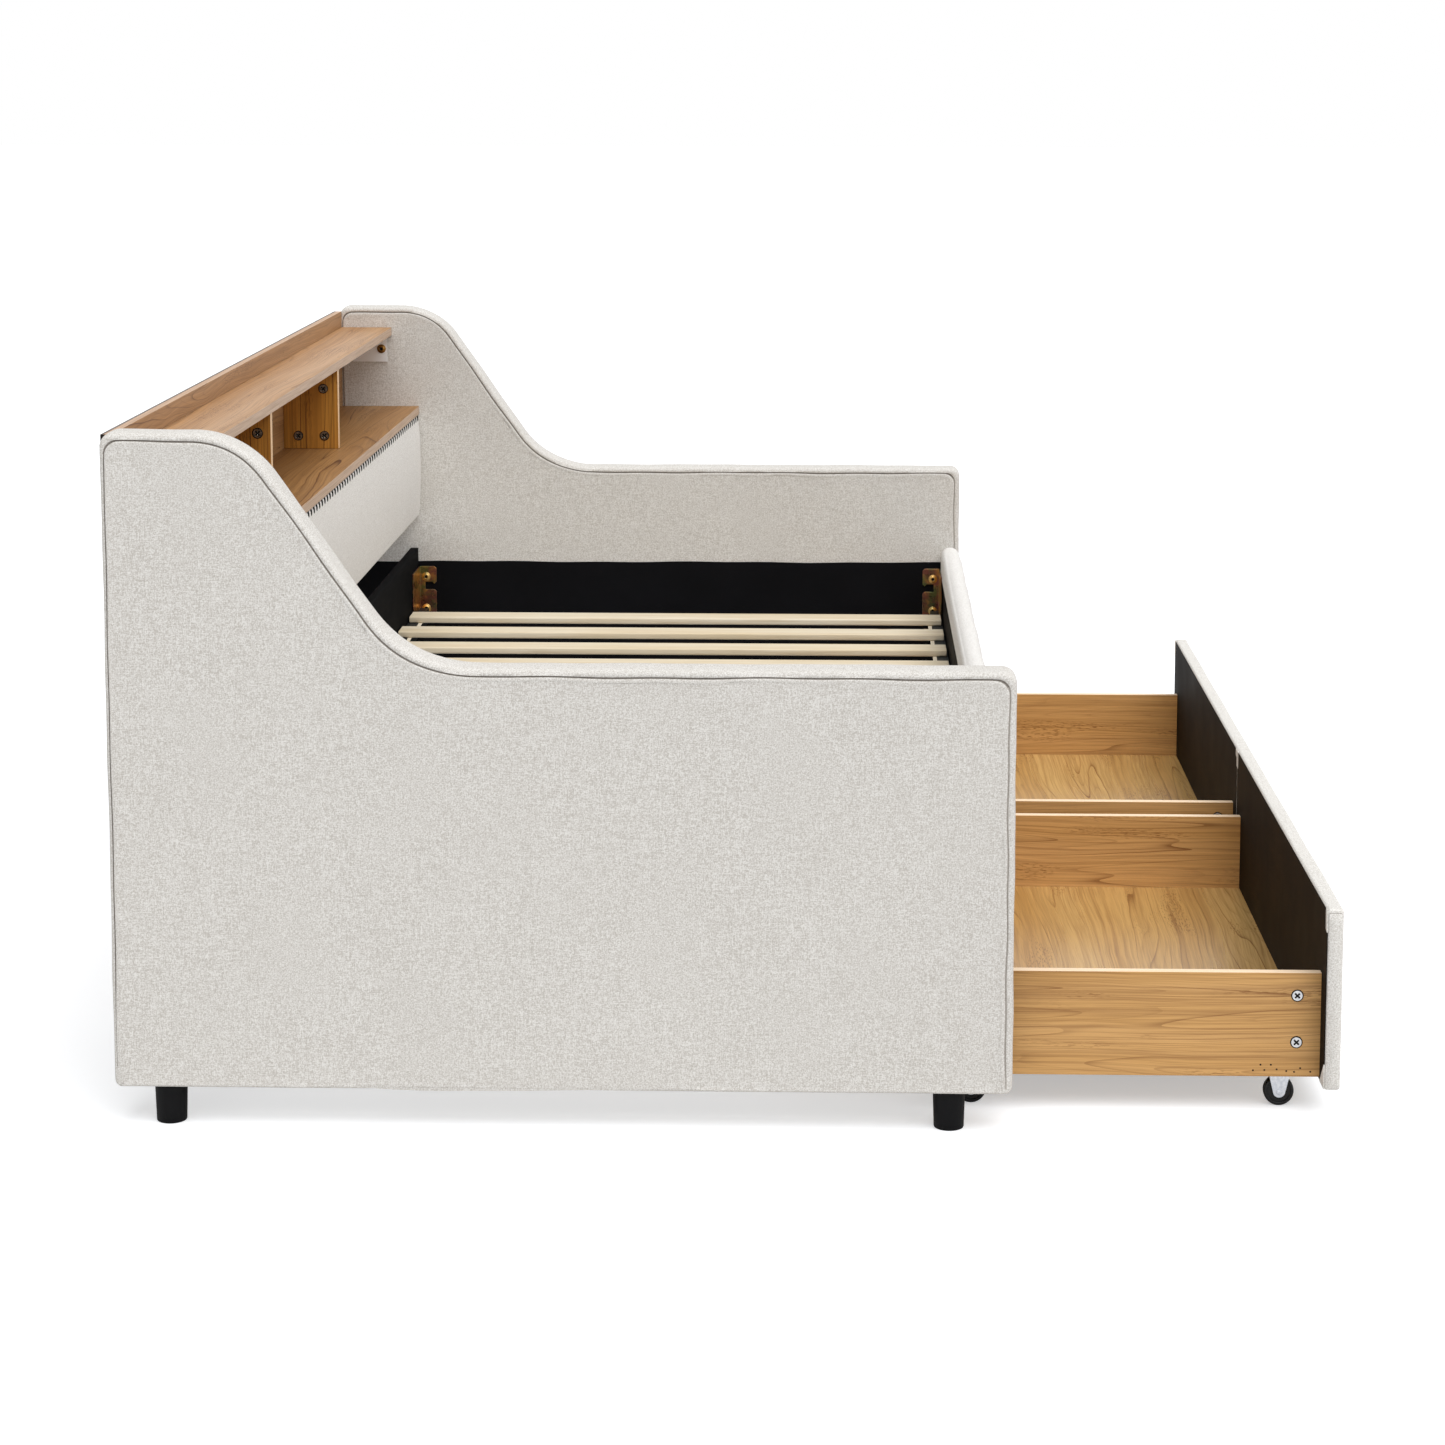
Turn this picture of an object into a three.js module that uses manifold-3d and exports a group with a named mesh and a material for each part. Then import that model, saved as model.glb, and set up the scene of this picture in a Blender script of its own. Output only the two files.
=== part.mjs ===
// A storage daybed for one twin mattress. Two upholstered end arms carry everything: a front rail and a
// back rail with slats between them, a shelf unit along the back, and two drawers that roll on the floor.
// Millimetres. +X runs along the bed, -Y is the open front, +Z is up. The drawers are drawn out.

import * as THREE from "three";
import { mergeVertices } from "three/addons/utils/BufferGeometryUtils.js";
import Module from "manifold-3d";

const wasm = await Module();
wasm.setup();

// Sizes of the whole bed
const innerLength = 1960;
const armThickness = 60;
const armDepth = 1216;
const armBackTop = 947;
const armFrontTop = 633;
const legHeight = 54;
const seatGap = 0.3;

// The side outline of an arm
const armBackFlat = 119;
const shoulderRadius = 130;
const hollowRadius = 165;
const armSlope = THREE.MathUtils.degToRad(55);
const armCornerRadius = 18;
const armFootRadius = 15;
const armEdgeRadius = 13;

// Legs
const legTopRadius = 22;
const legFootRadius = 20.5;
const legChamfer = 1.5;
const legFromBack = 72;
const legFromFront = 85;

// Laminated boards of the shelf unit
const boardThickness = 16;
const rearBoardThickness = 15;
const rearBoardTop = 938;
const topShelfTop = 907;
const topShelfDepth = 102;
const lowerShelfTop = 752;
const lowerShelfDepth = 154;
const dividerThickness = 15;
const dividerSetback = 1.5;
const compartments = 3;

// The upholstered panel below the lower shelf
const panelThickness = 20;
const panelCrown = 5;
const panelEdgeRadius = 8;
const panelEndRadius = 4;
const panelHeight = 201;

// Rails, their cleats and the slats
const railUnderside = 303;
const frontRailTop = 479;
const frontRailThickness = 36.5;
const frontRailEdgeRadius = 4;
const backRailTop = 471;
const backRailThickness = 16;
const backRailEdgeRadius = 2;
const backRailFromBack = 134;
const cleatWidth = 20;
const cleatHeight = 28;
const slatTop = 363;
const slatThickness = 12;
const slatWidth = 58;
const slatCount = 12;
const slatMargin = 112;
const slatEndPlay = 3.2;
const slatCornerRadius = 4.5;

// Pressed steel corner brackets between rails and arms
const bracketSteel = 2.5;
const bracketTop = 434;
const bracketUnderside = 305;
const bracketArmFlange = 34.5;
const bracketRailFlange = 100;
const bracketCornerRadius = 4;
const notchDepth = 22;
const notchHeight = 15;
const notchLipWidth = 8;
const notchLipDrop = 4;
const upperNotchUnderside = 388;
const lowerNotchUnderside = 314;
const bracketHoleRadius = 4;
const bracketHoleFromRail = 14.5;
const upperHoleHeight = 413.5;
const lowerHoleHeight = 350;

// Angle brackets below the top shelf
const angleSteel = 2;
const angleLength = 67;
const angleDrop = 51;
const angleReach = 38;
const angleFromShelfEdge = 9;

// Drawers
const drawerOut = 449;
const drawerEndPlay = 4;
const drawerMiddleGap = 4;
const frontTop = 297;
const frontUnderside = 43;
const frontThickness = 22;
const frontCornerRadius = 6;
const frontEdgeRadius = 5;
const boxInset = 40;
const boxDepth = 530;
const boxTop = 196;
const boxUnderside = 49;
const boxBoard = 15;
const floorTop = 76;

// Fixed casters
const wheelRadius = 21;
const wheelWidth = 15;
const wheelBoreRadius = 3.3;
const hubRadius = 8.5;
const rimRadius = 16.5;
const discInset = 2.5;
const treadRounding = 2;
const pinRadius = 3;
const rivetRadius = 4.2;
const rivetThickness = 1.5;
const forkSteel = 1.6;
const forkPlay = 0.8;
const forkPlateWidth = 27;
const forkPlateLength = 46;
const forkTopLength = 37;
const forkEndRadius = 8;
const casterFromEnd = 52;

// How finely round shapes are cut into facets
const arcSteps = 7;
const smallArcSteps = 3;
const legSides = 24;
const wheelSides = 24;
const pinSides = 12;
const overrun = 1;

// Places that follow from the sizes
const halfInner = innerLength / 2;
const boardEnd = halfInner - seatGap;
const fullDepth = rearBoardThickness + armDepth + drawerOut;
const armBackY = fullDepth / 2 - rearBoardThickness;
const armFrontY = armBackY - armDepth;
const railInnerY = armFrontY + frontRailThickness;
const backRailFrontY = armBackY - backRailFromBack - backRailThickness;
const slatUnderside = slatTop - slatThickness;
const topShelfUnderside = topShelfTop - boardThickness;
const lowerShelfUnderside = lowerShelfTop - boardThickness;
const floorUnderside = floorTop - boxBoard;

const fabric = new THREE.MeshStandardMaterial({ color: 0xd3d0cb, roughness: 0.95, metalness: 0 });
const oakLaminate = new THREE.MeshStandardMaterial({ color: 0xc0925f, roughness: 0.45, metalness: 0 });
const blackCloth = new THREE.MeshStandardMaterial({ color: 0x131315, roughness: 0.9, metalness: 0 });
const pine = new THREE.MeshStandardMaterial({ color: 0xe4d4b6, roughness: 0.6, metalness: 0 });
const blackPlastic = new THREE.MeshStandardMaterial({ color: 0x17171a, roughness: 0.4, metalness: 0 });
const yellowZinc = new THREE.MeshStandardMaterial({ color: 0xb08a50, roughness: 0.35, metalness: 1 });
const whiteSteel = new THREE.MeshStandardMaterial({ color: 0xdedad6, roughness: 0.4, metalness: 0 });
const brightZinc = new THREE.MeshStandardMaterial({ color: 0xc9ccd0, roughness: 0.3, metalness: 1 });

// Turns a profile drawn across Y and Z so that its extrusion runs along +X
const acrossYZ = new THREE.Matrix4().makeBasis(
  new THREE.Vector3(0, 1, 0),
  new THREE.Vector3(0, 0, 1),
  new THREE.Vector3(1, 0, 0),
);

const daybed = new THREE.Group();

function addMesh(parent, name, geometry, material) {
  const mesh = new THREE.Mesh(geometry, material);
  mesh.name = name;
  parent.add(mesh);
  return mesh;
}

// A plain board between two corners
function boardGeometry(low, high) {
  const geometry = new THREE.BoxGeometry(high[0] - low[0], high[1] - low[1], high[2] - low[2]);
  geometry.translate((low[0] + high[0]) / 2, (low[1] + high[1]) / 2, (low[2] + high[2]) / 2);
  return geometry;
}

// A profile across Y and Z, run from one X to another, with its two ends rounded over where asked
function runAlongX(shape, fromX, toX, steps, endRadius = 0) {
  const geometry = new THREE.ExtrudeGeometry(shape, {
    depth: toX - fromX - 2 * endRadius,
    curveSegments: steps,
    bevelEnabled: endRadius > 0,
    bevelThickness: endRadius,
    bevelSize: endRadius,
    bevelOffset: -endRadius,
    bevelSegments: smallArcSteps,
  });
  geometry.translate(0, 0, endRadius);
  geometry.applyMatrix4(acrossYZ);
  geometry.translate(fromX, 0, 0);
  return geometry;
}

// A profile across X and Z, run from the back towards the front
function runAlongY(shape, backY, frontY, steps, endRadius = 0) {
  const geometry = new THREE.ExtrudeGeometry(shape, {
    depth: backY - frontY - 2 * endRadius,
    curveSegments: steps,
    bevelEnabled: endRadius > 0,
    bevelThickness: endRadius,
    bevelSize: endRadius,
    bevelOffset: -endRadius,
    bevelSegments: smallArcSteps,
  });
  geometry.translate(0, 0, endRadius);
  geometry.rotateX(Math.PI / 2);
  geometry.translate(0, backY, 0);
  return geometry;
}

function roundedRectangle(left, low, right, high, radius) {
  const shape = new THREE.Shape();
  shape.absarc(right - radius, low + radius, radius, -Math.PI / 2, 0, false);
  shape.absarc(right - radius, high - radius, radius, 0, Math.PI / 2, false);
  shape.absarc(left + radius, high - radius, radius, Math.PI / 2, Math.PI, false);
  shape.absarc(left + radius, low + radius, radius, Math.PI, 1.5 * Math.PI, false);
  shape.closePath();
  return shape;
}

// Joining and cutting of closed shapes
function solidOf(geometry) {
  const bare = geometry.clone();
  bare.deleteAttribute("normal");
  bare.deleteAttribute("uv");
  const merged = mergeVertices(bare);
  return new wasm.Manifold(
    new wasm.Mesh({
      numProp: 3,
      vertProperties: merged.attributes.position.array,
      triVerts: new Uint32Array(merged.index.array),
    }),
  );
}

function geometryOf(solid) {
  const mesh = solid.getMesh();
  const geometry = new THREE.BufferGeometry();
  geometry.setAttribute("position", new THREE.BufferAttribute(mesh.vertProperties, mesh.numProp));
  geometry.setIndex(new THREE.BufferAttribute(mesh.triVerts, 1));
  geometry.computeVertexNormals();
  return geometry;
}

function joined(first, ...others) {
  return geometryOf(others.reduce((solid, other) => solid.add(solidOf(other)), solidOf(first)));
}

// The arms: high at the back, a long double curve, then low to the front
function armOutline() {
  const fall = armBackTop - armFrontTop;
  const radii = shoulderRadius + hollowRadius;
  const straight = (fall - radii * (1 - Math.cos(armSlope))) / Math.sin(armSlope);
  const shoulderY = armBackY - armBackFlat;
  const hollowY = shoulderY - radii * Math.sin(armSlope) - straight * Math.cos(armSlope);
  const turn = Math.PI / 2;
  const shape = new THREE.Shape();
  shape.absarc(armBackY - armFootRadius, legHeight + armFootRadius, armFootRadius, -turn, 0, false);
  shape.absarc(
    armBackY - armCornerRadius, armBackTop - armCornerRadius, armCornerRadius, 0, turn, false,
  );
  shape.absarc(shoulderY, armBackTop - shoulderRadius, shoulderRadius, turn, turn + armSlope, false);
  shape.absarc(hollowY, armFrontTop + hollowRadius, hollowRadius, armSlope - turn, -turn, true);
  shape.absarc(
    armFrontY + armCornerRadius, armFrontTop - armCornerRadius, armCornerRadius, turn, Math.PI, false,
  );
  shape.absarc(
    armFrontY + armFootRadius, legHeight + armFootRadius, armFootRadius, Math.PI, 3 * turn, false,
  );
  shape.closePath();
  return shape;
}

const armShape = armOutline();
const armStarts = { left_arm: -halfInner - armThickness, right_arm: halfInner };
for (const [name, startX] of Object.entries(armStarts)) {
  const geometry = runAlongX(armShape, startX, startX + armThickness, arcSteps, armEdgeRadius);
  addMesh(daybed, name, geometry, fabric);
}

// Legs: turned, a little thinner at the foot, screwed up into the arms
function legGeometry() {
  const high = legHeight - seatGap;
  const profile = [
    new THREE.Vector2(0, 0),
    new THREE.Vector2(legFootRadius - legChamfer, 0),
    new THREE.Vector2(legFootRadius, legChamfer),
    new THREE.Vector2(legTopRadius, high),
    new THREE.Vector2(0, high),
  ];
  const geometry = new THREE.LatheGeometry(profile, legSides);
  geometry.rotateX(Math.PI / 2);
  return geometry;
}

for (const [side, sign] of [["left", -1], ["right", 1]]) {
  for (const [end, y] of [["back", armBackY - legFromBack], ["front", armFrontY + legFromFront]]) {
    const leg = addMesh(daybed, `${side}_${end}_leg`, legGeometry(), blackPlastic);
    leg.position.set(sign * (halfInner + armThickness / 2), y, 0);
  }
}

// Front rail: a padded board with a round top, and the cleat that the slats lie on
function frontRailOutline() {
  const round = frontRailThickness / 2;
  const shape = new THREE.Shape();
  const edge = frontRailEdgeRadius;
  shape.absarc(railInnerY - edge, railUnderside + edge, edge, -Math.PI / 2, 0, false);
  shape.absarc(railInnerY - round, frontRailTop - round, round, 0, Math.PI, false);
  shape.absarc(armFrontY + edge, railUnderside + edge, edge, Math.PI, 1.5 * Math.PI, false);
  shape.closePath();
  return shape;
}

// A cleat is screwed to its rail, and its ends are relieved to pass over the corner brackets
function cleatGeometries(railY, inward) {
  const top = slatUnderside - seatGap;
  const inside = railY + inward * cleatWidth;
  return [
    [halfInner - bracketRailFlange - seatGap, railY - inward * overrun],
    [halfInner - 2 * seatGap - bracketSteel, railY + inward * (bracketSteel + 2 * seatGap)],
  ].map(([end, behind]) => boardGeometry(
    [-end, Math.min(behind, inside), top - cleatHeight],
    [end, Math.max(behind, inside), top],
  ));
}

const frontRailBoard = runAlongX(frontRailOutline(), -boardEnd, boardEnd, arcSteps);
addMesh(
  daybed, "front_rail", joined(frontRailBoard, ...cleatGeometries(railInnerY, 1)), fabric,
);

const backRailOutline = roundedRectangle(
  backRailFrontY, railUnderside, backRailFrontY + backRailThickness, backRailTop, backRailEdgeRadius,
);
const backRailBoard = runAlongX(backRailOutline, -boardEnd, boardEnd, smallArcSteps);
addMesh(
  daybed, "back_rail", joined(backRailBoard, ...cleatGeometries(backRailFrontY, -1)), blackCloth,
);

// Slats: softly rounded battens from rail to rail
const slatPitch = (innerLength - 2 * slatMargin - slatWidth) / (slatCount - 1);
for (let i = 0; i < slatCount; i++) {
  const left = -halfInner + slatMargin + i * slatPitch;
  const shape = roundedRectangle(left, slatUnderside, left + slatWidth, slatTop, slatCornerRadius);
  const geometry = runAlongY(
    shape, backRailFrontY - slatEndPlay, railInnerY + slatEndPlay, smallArcSteps,
  );
  addMesh(daybed, `slat_${String(i + 1).padStart(2, "0")}`, geometry, pine);
}

// Corner brackets: one flange on the arm, with two open hooks for the studs, and one on the rail
function armFlangeOutline(railY, inward) {
  const tip = railY + inward * bracketArmFlange;
  const throat = tip - inward * notchDepth;
  const shape = new THREE.Shape();
  shape.moveTo(railY, bracketUnderside);
  shape.lineTo(tip, bracketUnderside);
  for (const notchUnderside of [lowerNotchUnderside, upperNotchUnderside]) {
    const notchTop = notchUnderside + notchHeight;
    shape.lineTo(tip, notchUnderside - bracketCornerRadius);
    shape.lineTo(tip - inward * bracketCornerRadius, notchUnderside);
    shape.lineTo(throat, notchUnderside);
    shape.lineTo(throat, notchTop);
    shape.lineTo(tip - inward * notchLipWidth, notchTop);
    shape.lineTo(tip - inward * bracketCornerRadius, notchTop - notchLipDrop);
    shape.lineTo(tip, notchTop);
  }
  shape.lineTo(tip, bracketTop - bracketCornerRadius);
  shape.lineTo(tip - inward * bracketCornerRadius, bracketTop);
  shape.lineTo(railY, bracketTop);
  shape.closePath();
  for (const height of [upperHoleHeight, lowerHoleHeight]) {
    const hole = new THREE.Path();
    hole.absarc(railY + inward * bracketHoleFromRail, height, bracketHoleRadius, 0, 2 * Math.PI, false);
    shape.holes.push(hole);
  }
  return shape;
}

for (const [side, sign] of [["left", -1], ["right", 1]]) {
  const rails = [
    ["back", backRailFrontY - seatGap, -1],
    ["front", railInnerY + seatGap, 1],
  ];
  for (const [end, railY, inward] of rails) {
    const outer = sign * (halfInner - seatGap);
    const inner = outer - sign * bracketSteel;
    const plate = runAlongX(
      armFlangeOutline(railY, inward), Math.min(outer, inner), Math.max(outer, inner), arcSteps,
    );
    const reach = outer - sign * (bracketRailFlange - seatGap);
    const railFlange = boardGeometry(
      [Math.min(outer, reach), Math.min(railY, railY + inward * bracketSteel), bracketUnderside],
      [Math.max(outer, reach), Math.max(railY, railY + inward * bracketSteel), bracketTop],
    );
    addMesh(daybed, `${side}_${end}_corner_bracket`, joined(plate, railFlange), yellowZinc);
  }
}

// Shelf unit: two shelves between the arms, a board behind them and two dividers
const shelfBackY = armBackY - seatGap;
addMesh(
  daybed, "rear_board",
  boardGeometry(
    [-boardEnd, armBackY, lowerShelfUnderside - panelHeight],
    [boardEnd, armBackY + rearBoardThickness, rearBoardTop],
  ),
  oakLaminate,
);
addMesh(
  daybed, "top_shelf",
  boardGeometry(
    [-boardEnd, armBackY - topShelfDepth, topShelfUnderside],
    [boardEnd, shelfBackY, topShelfTop],
  ),
  oakLaminate,
);
addMesh(
  daybed, "lower_shelf",
  boardGeometry(
    [-boardEnd, armBackY - lowerShelfDepth, lowerShelfUnderside],
    [boardEnd, shelfBackY, lowerShelfTop],
  ),
  oakLaminate,
);
for (let i = 1; i < compartments; i++) {
  const middle = -halfInner + (i * innerLength) / compartments;
  addMesh(
    daybed, `shelf_divider_${i}`,
    boardGeometry(
      [middle - dividerThickness / 2, armBackY - topShelfDepth + dividerSetback, lowerShelfTop + seatGap],
      [middle + dividerThickness / 2, shelfBackY, topShelfUnderside - seatGap],
    ),
    oakLaminate,
  );
}

// Upholstered panel: flat behind, crowned in front, its four edges rolled over
function panelOutline() {
  const low = lowerShelfUnderside - panelHeight;
  const high = lowerShelfUnderside - seatGap;
  const frontY = armBackY - lowerShelfDepth;
  const backY = frontY + panelThickness;
  const shape = new THREE.Shape();
  shape.moveTo(backY, low);
  shape.lineTo(backY, high);
  shape.lineTo(frontY + panelEdgeRadius, high);
  shape.quadraticCurveTo(frontY, high, frontY, high - panelEdgeRadius);
  shape.quadraticCurveTo(frontY - 2 * panelCrown, (low + high) / 2, frontY, low + panelEdgeRadius);
  shape.quadraticCurveTo(frontY, low, frontY + panelEdgeRadius, low);
  shape.closePath();
  return shape;
}
const panelGeometry = runAlongX(panelOutline(), -boardEnd, boardEnd, arcSteps, panelEndRadius);
addMesh(daybed, "back_panel", panelGeometry, fabric);

// Angle brackets: screwed to the arm, holding up each end of the top shelf
function angleOutline(sign) {
  const outer = sign * (halfInner - seatGap);
  const top = topShelfUnderside - seatGap;
  const shape = new THREE.Shape();
  shape.moveTo(outer, top - angleDrop);
  shape.lineTo(outer, top);
  shape.lineTo(outer - sign * angleReach, top);
  shape.lineTo(outer - sign * angleReach, top - angleSteel);
  shape.lineTo(outer - sign * angleSteel, top - angleSteel);
  shape.lineTo(outer - sign * angleSteel, top - angleDrop);
  shape.closePath();
  return shape;
}
for (const [side, sign] of [["left", -1], ["right", 1]]) {
  const frontY = armBackY - topShelfDepth + angleFromShelfEdge;
  const geometry = runAlongY(angleOutline(sign), frontY + angleLength, frontY, smallArcSteps);
  addMesh(daybed, `${side}_shelf_bracket`, geometry, whiteSteel);
}

// Fixed casters: a folded steel fork whose two cheeks carry a riveted pin, and a wheel that turns on it
const cheekInner = wheelWidth / 2 + forkPlay;
const cheekOuter = cheekInner + forkSteel;
const forkTop = floorUnderside - seatGap;

function cheekOutline() {
  const half = forkTopLength / 2;
  const high = forkTop - forkSteel / 2;
  const toAxle = high - wheelRadius;
  const lean = Math.atan((half - forkEndRadius) / toAxle);
  const shape = new THREE.Shape();
  shape.moveTo(half, high);
  shape.lineTo(-half, high);
  shape.absarc(0, wheelRadius, forkEndRadius, Math.PI + lean, 2 * Math.PI - lean, false);
  shape.closePath();
  return shape;
}

function turnedAlongX(profile, sides) {
  const geometry = new THREE.LatheGeometry(profile, sides);
  geometry.rotateZ(-Math.PI / 2);
  return geometry;
}

function forkGeometry() {
  const half = forkPlateWidth / 2;
  const plate = boardGeometry(
    [-half, -forkPlateLength / 2, forkTop - forkSteel],
    [half, forkPlateLength / 2, forkTop],
  );
  const cheek = cheekOutline();
  const reach = cheekOuter + rivetThickness;
  const pinProfile = [
    new THREE.Vector2(0, -reach),
    new THREE.Vector2(rivetRadius, -reach),
    new THREE.Vector2(rivetRadius, -cheekOuter + forkSteel / 2),
    new THREE.Vector2(pinRadius, -cheekOuter + forkSteel / 2),
    new THREE.Vector2(pinRadius, cheekOuter - forkSteel / 2),
    new THREE.Vector2(rivetRadius, cheekOuter - forkSteel / 2),
    new THREE.Vector2(rivetRadius, reach),
    new THREE.Vector2(0, reach),
  ];
  const pin = turnedAlongX(pinProfile, pinSides);
  pin.translate(0, 0, wheelRadius);
  return joined(
    plate,
    runAlongX(cheek, -cheekOuter, -cheekInner, smallArcSteps),
    runAlongX(cheek, cheekInner, cheekOuter, smallArcSteps),
    pin,
  );
}

function wheelGeometry() {
  const half = wheelWidth / 2;
  const disc = half - discInset;
  const right = [
    new THREE.Vector2(wheelRadius, half - treadRounding),
    new THREE.Vector2(wheelRadius - treadRounding, half),
    new THREE.Vector2(rimRadius, half),
    new THREE.Vector2(rimRadius - treadRounding / 2, disc),
    new THREE.Vector2(hubRadius, disc),
    new THREE.Vector2(hubRadius, half),
    new THREE.Vector2(wheelBoreRadius, half),
  ];
  const left = right.map((point) => new THREE.Vector2(point.x, -point.y)).reverse();
  const profile = [...left, ...right];
  profile.push(profile[0].clone());
  return turnedAlongX(profile, wheelSides);
}

const forkShape = forkGeometry();
const wheelShape = wheelGeometry();

// Drawers: a padded front on a laminated box, four casters below the floor of each
function addDrawer(side, sign) {
  const frontLength = (innerLength - drawerMiddleGap) / 2 - drawerEndPlay;
  const drawer = new THREE.Group();
  drawer.position.set((sign * (frontLength + drawerMiddleGap)) / 2, armFrontY - drawerOut, 0);
  daybed.add(drawer);

  const halfFront = frontLength / 2;
  const frontShape = roundedRectangle(
    -halfFront, frontUnderside, halfFront, frontTop, frontCornerRadius,
  );
  const front = runAlongY(frontShape, frontThickness, 0, smallArcSteps, frontEdgeRadius);
  addMesh(drawer, `${side}_drawer_front`, front, fabric);

  const halfBox = halfFront - boxInset;
  const boxFrontY = frontThickness + seatGap;
  const boxBackY = frontThickness + boxDepth;
  for (const [end, wallSign] of [["left", -1], ["right", 1]]) {
    const wallX = [wallSign * halfBox, wallSign * (halfBox - boxBoard)].sort((a, b) => a - b);
    const wall = boardGeometry([wallX[0], boxFrontY, boxUnderside], [wallX[1], boxBackY, boxTop]);
    addMesh(drawer, `${side}_drawer_${end}_side`, wall, oakLaminate);
  }
  const inside = halfBox - boxBoard - seatGap;
  const backWall = boardGeometry(
    [-inside, boxBackY - boxBoard, boxUnderside], [inside, boxBackY, boxTop],
  );
  addMesh(drawer, `${side}_drawer_back`, backWall, oakLaminate);
  const floor = boardGeometry(
    [-inside, boxFrontY, floorUnderside], [inside, boxBackY - boxBoard - seatGap, floorTop],
  );
  addMesh(drawer, `${side}_drawer_floor`, floor, oakLaminate);

  const casterX = inside - forkPlateWidth / 2;
  for (const [end, x] of [["left", -casterX], ["right", casterX]]) {
    for (const [row, y] of [
      ["front", boxFrontY + casterFromEnd],
      ["rear", boxBackY - casterFromEnd],
    ]) {
      const place = `${side}_drawer_${end}_${row}`;
      addMesh(drawer, `${place}_fork`, forkShape, brightZinc).position.set(x, y, 0);
      addMesh(drawer, `${place}_wheel`, wheelShape, blackPlastic).position.set(x, y, wheelRadius);
    }
  }
}
addDrawer("left", -1);
addDrawer("right", 1);

export default daybed;
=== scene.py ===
import math

import bmesh
import bpy
import numpy as np
from mathutils import Matrix, Vector


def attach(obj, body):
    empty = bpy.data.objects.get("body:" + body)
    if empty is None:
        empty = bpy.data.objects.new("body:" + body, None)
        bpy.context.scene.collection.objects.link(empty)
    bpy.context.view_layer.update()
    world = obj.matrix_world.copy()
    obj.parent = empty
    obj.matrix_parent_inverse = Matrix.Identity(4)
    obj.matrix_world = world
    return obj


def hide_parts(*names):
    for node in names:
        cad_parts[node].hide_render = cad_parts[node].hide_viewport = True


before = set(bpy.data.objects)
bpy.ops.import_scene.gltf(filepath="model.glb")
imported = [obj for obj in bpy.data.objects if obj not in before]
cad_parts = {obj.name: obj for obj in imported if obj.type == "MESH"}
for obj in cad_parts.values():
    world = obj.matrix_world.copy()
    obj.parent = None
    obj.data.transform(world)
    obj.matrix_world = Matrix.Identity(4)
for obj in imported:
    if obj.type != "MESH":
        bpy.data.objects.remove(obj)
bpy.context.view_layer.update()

# The view: the bed is seen from one end, from a little above its arms, through a long lens.
# The lens is shifted, which keeps the arms and legs upright in the picture.
eye = Vector((-5.13852, -0.15165, 1.45689))
heading, dip, lean = math.radians(1.3223), math.radians(7.0435), math.radians(0.0889)
ahead = Vector((math.cos(dip) * math.cos(heading), math.cos(dip) * math.sin(heading), -math.sin(dip)))
level = Vector((math.sin(heading), -math.cos(heading), 0))
upright = level.cross(ahead)
rightward = level * math.cos(lean) + upright * math.sin(lean)
upward = upright * math.cos(lean) - level * math.sin(lean)

lens = bpy.data.cameras.new("long_lens")
lens.sensor_fit = "HORIZONTAL"
lens.sensor_width, lens.lens = 36, 78.365
lens.shift_x, lens.shift_y = -0.03, -0.2
camera = bpy.data.objects.new("camera", lens)
camera.matrix_world = Matrix.Translation(eye) @ Matrix((rightward, upward, -ahead)).transposed().to_4x4()
bpy.context.scene.collection.objects.link(camera)
bpy.context.scene.camera = camera

# The studio: a wide pale floor, white walls all round, a broad lamp overhead and a weak one low in front.
# The walls give much of the light, so that the colours of the bed show as they are.
bpy.context.scene.view_settings.view_transform = "Standard"


def wire(tree, kind, feeds=(), **settings):
    """One shader node: its settings, and what feeds its inputs, a plain value or another node's output."""
    made = tree.nodes.new("ShaderNode" + kind)
    for name, value in settings.items():
        setattr(made, name, value)
    for name, value in dict(feeds).items():
        if isinstance(value, bpy.types.NodeSocket):
            tree.links.new(value, made.inputs[name])
        else:
            made.inputs[name].default_value = value
    return made


def reckon(tree, operation, *values, clamp=False):
    """The result of one sum on numbers or outputs."""
    return wire(tree, "Math", enumerate(values), operation=operation, use_clamp=clamp).outputs[0]


def studio_walls(fill, seen):
    """White all round: as strong as seen where it is looked at, and as fill where it lights the bed."""
    walls = bpy.data.worlds.new("studio_walls")
    walls.use_nodes = True
    tree = walls.node_tree
    tree.nodes.clear()
    path = wire(tree, "LightPath").outputs
    shiny = reckon(tree, "MAXIMUM", path["Is Glossy Ray"], path["Is Transmission Ray"])
    looked_at = reckon(tree, "MAXIMUM", path["Is Camera Ray"], shiny)
    lit, white = (
        wire(tree, "Background", {"Color": (1, 1, 1, 1), "Strength": strength}).outputs[0]
        for strength in (fill, seen)
    )
    shown = wire(tree, "MixShader", {0: looked_at, 1: lit, 2: white}).outputs[0]
    wire(tree, "OutputWorld", {"Surface": shown})
    bpy.context.scene.world = walls


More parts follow.
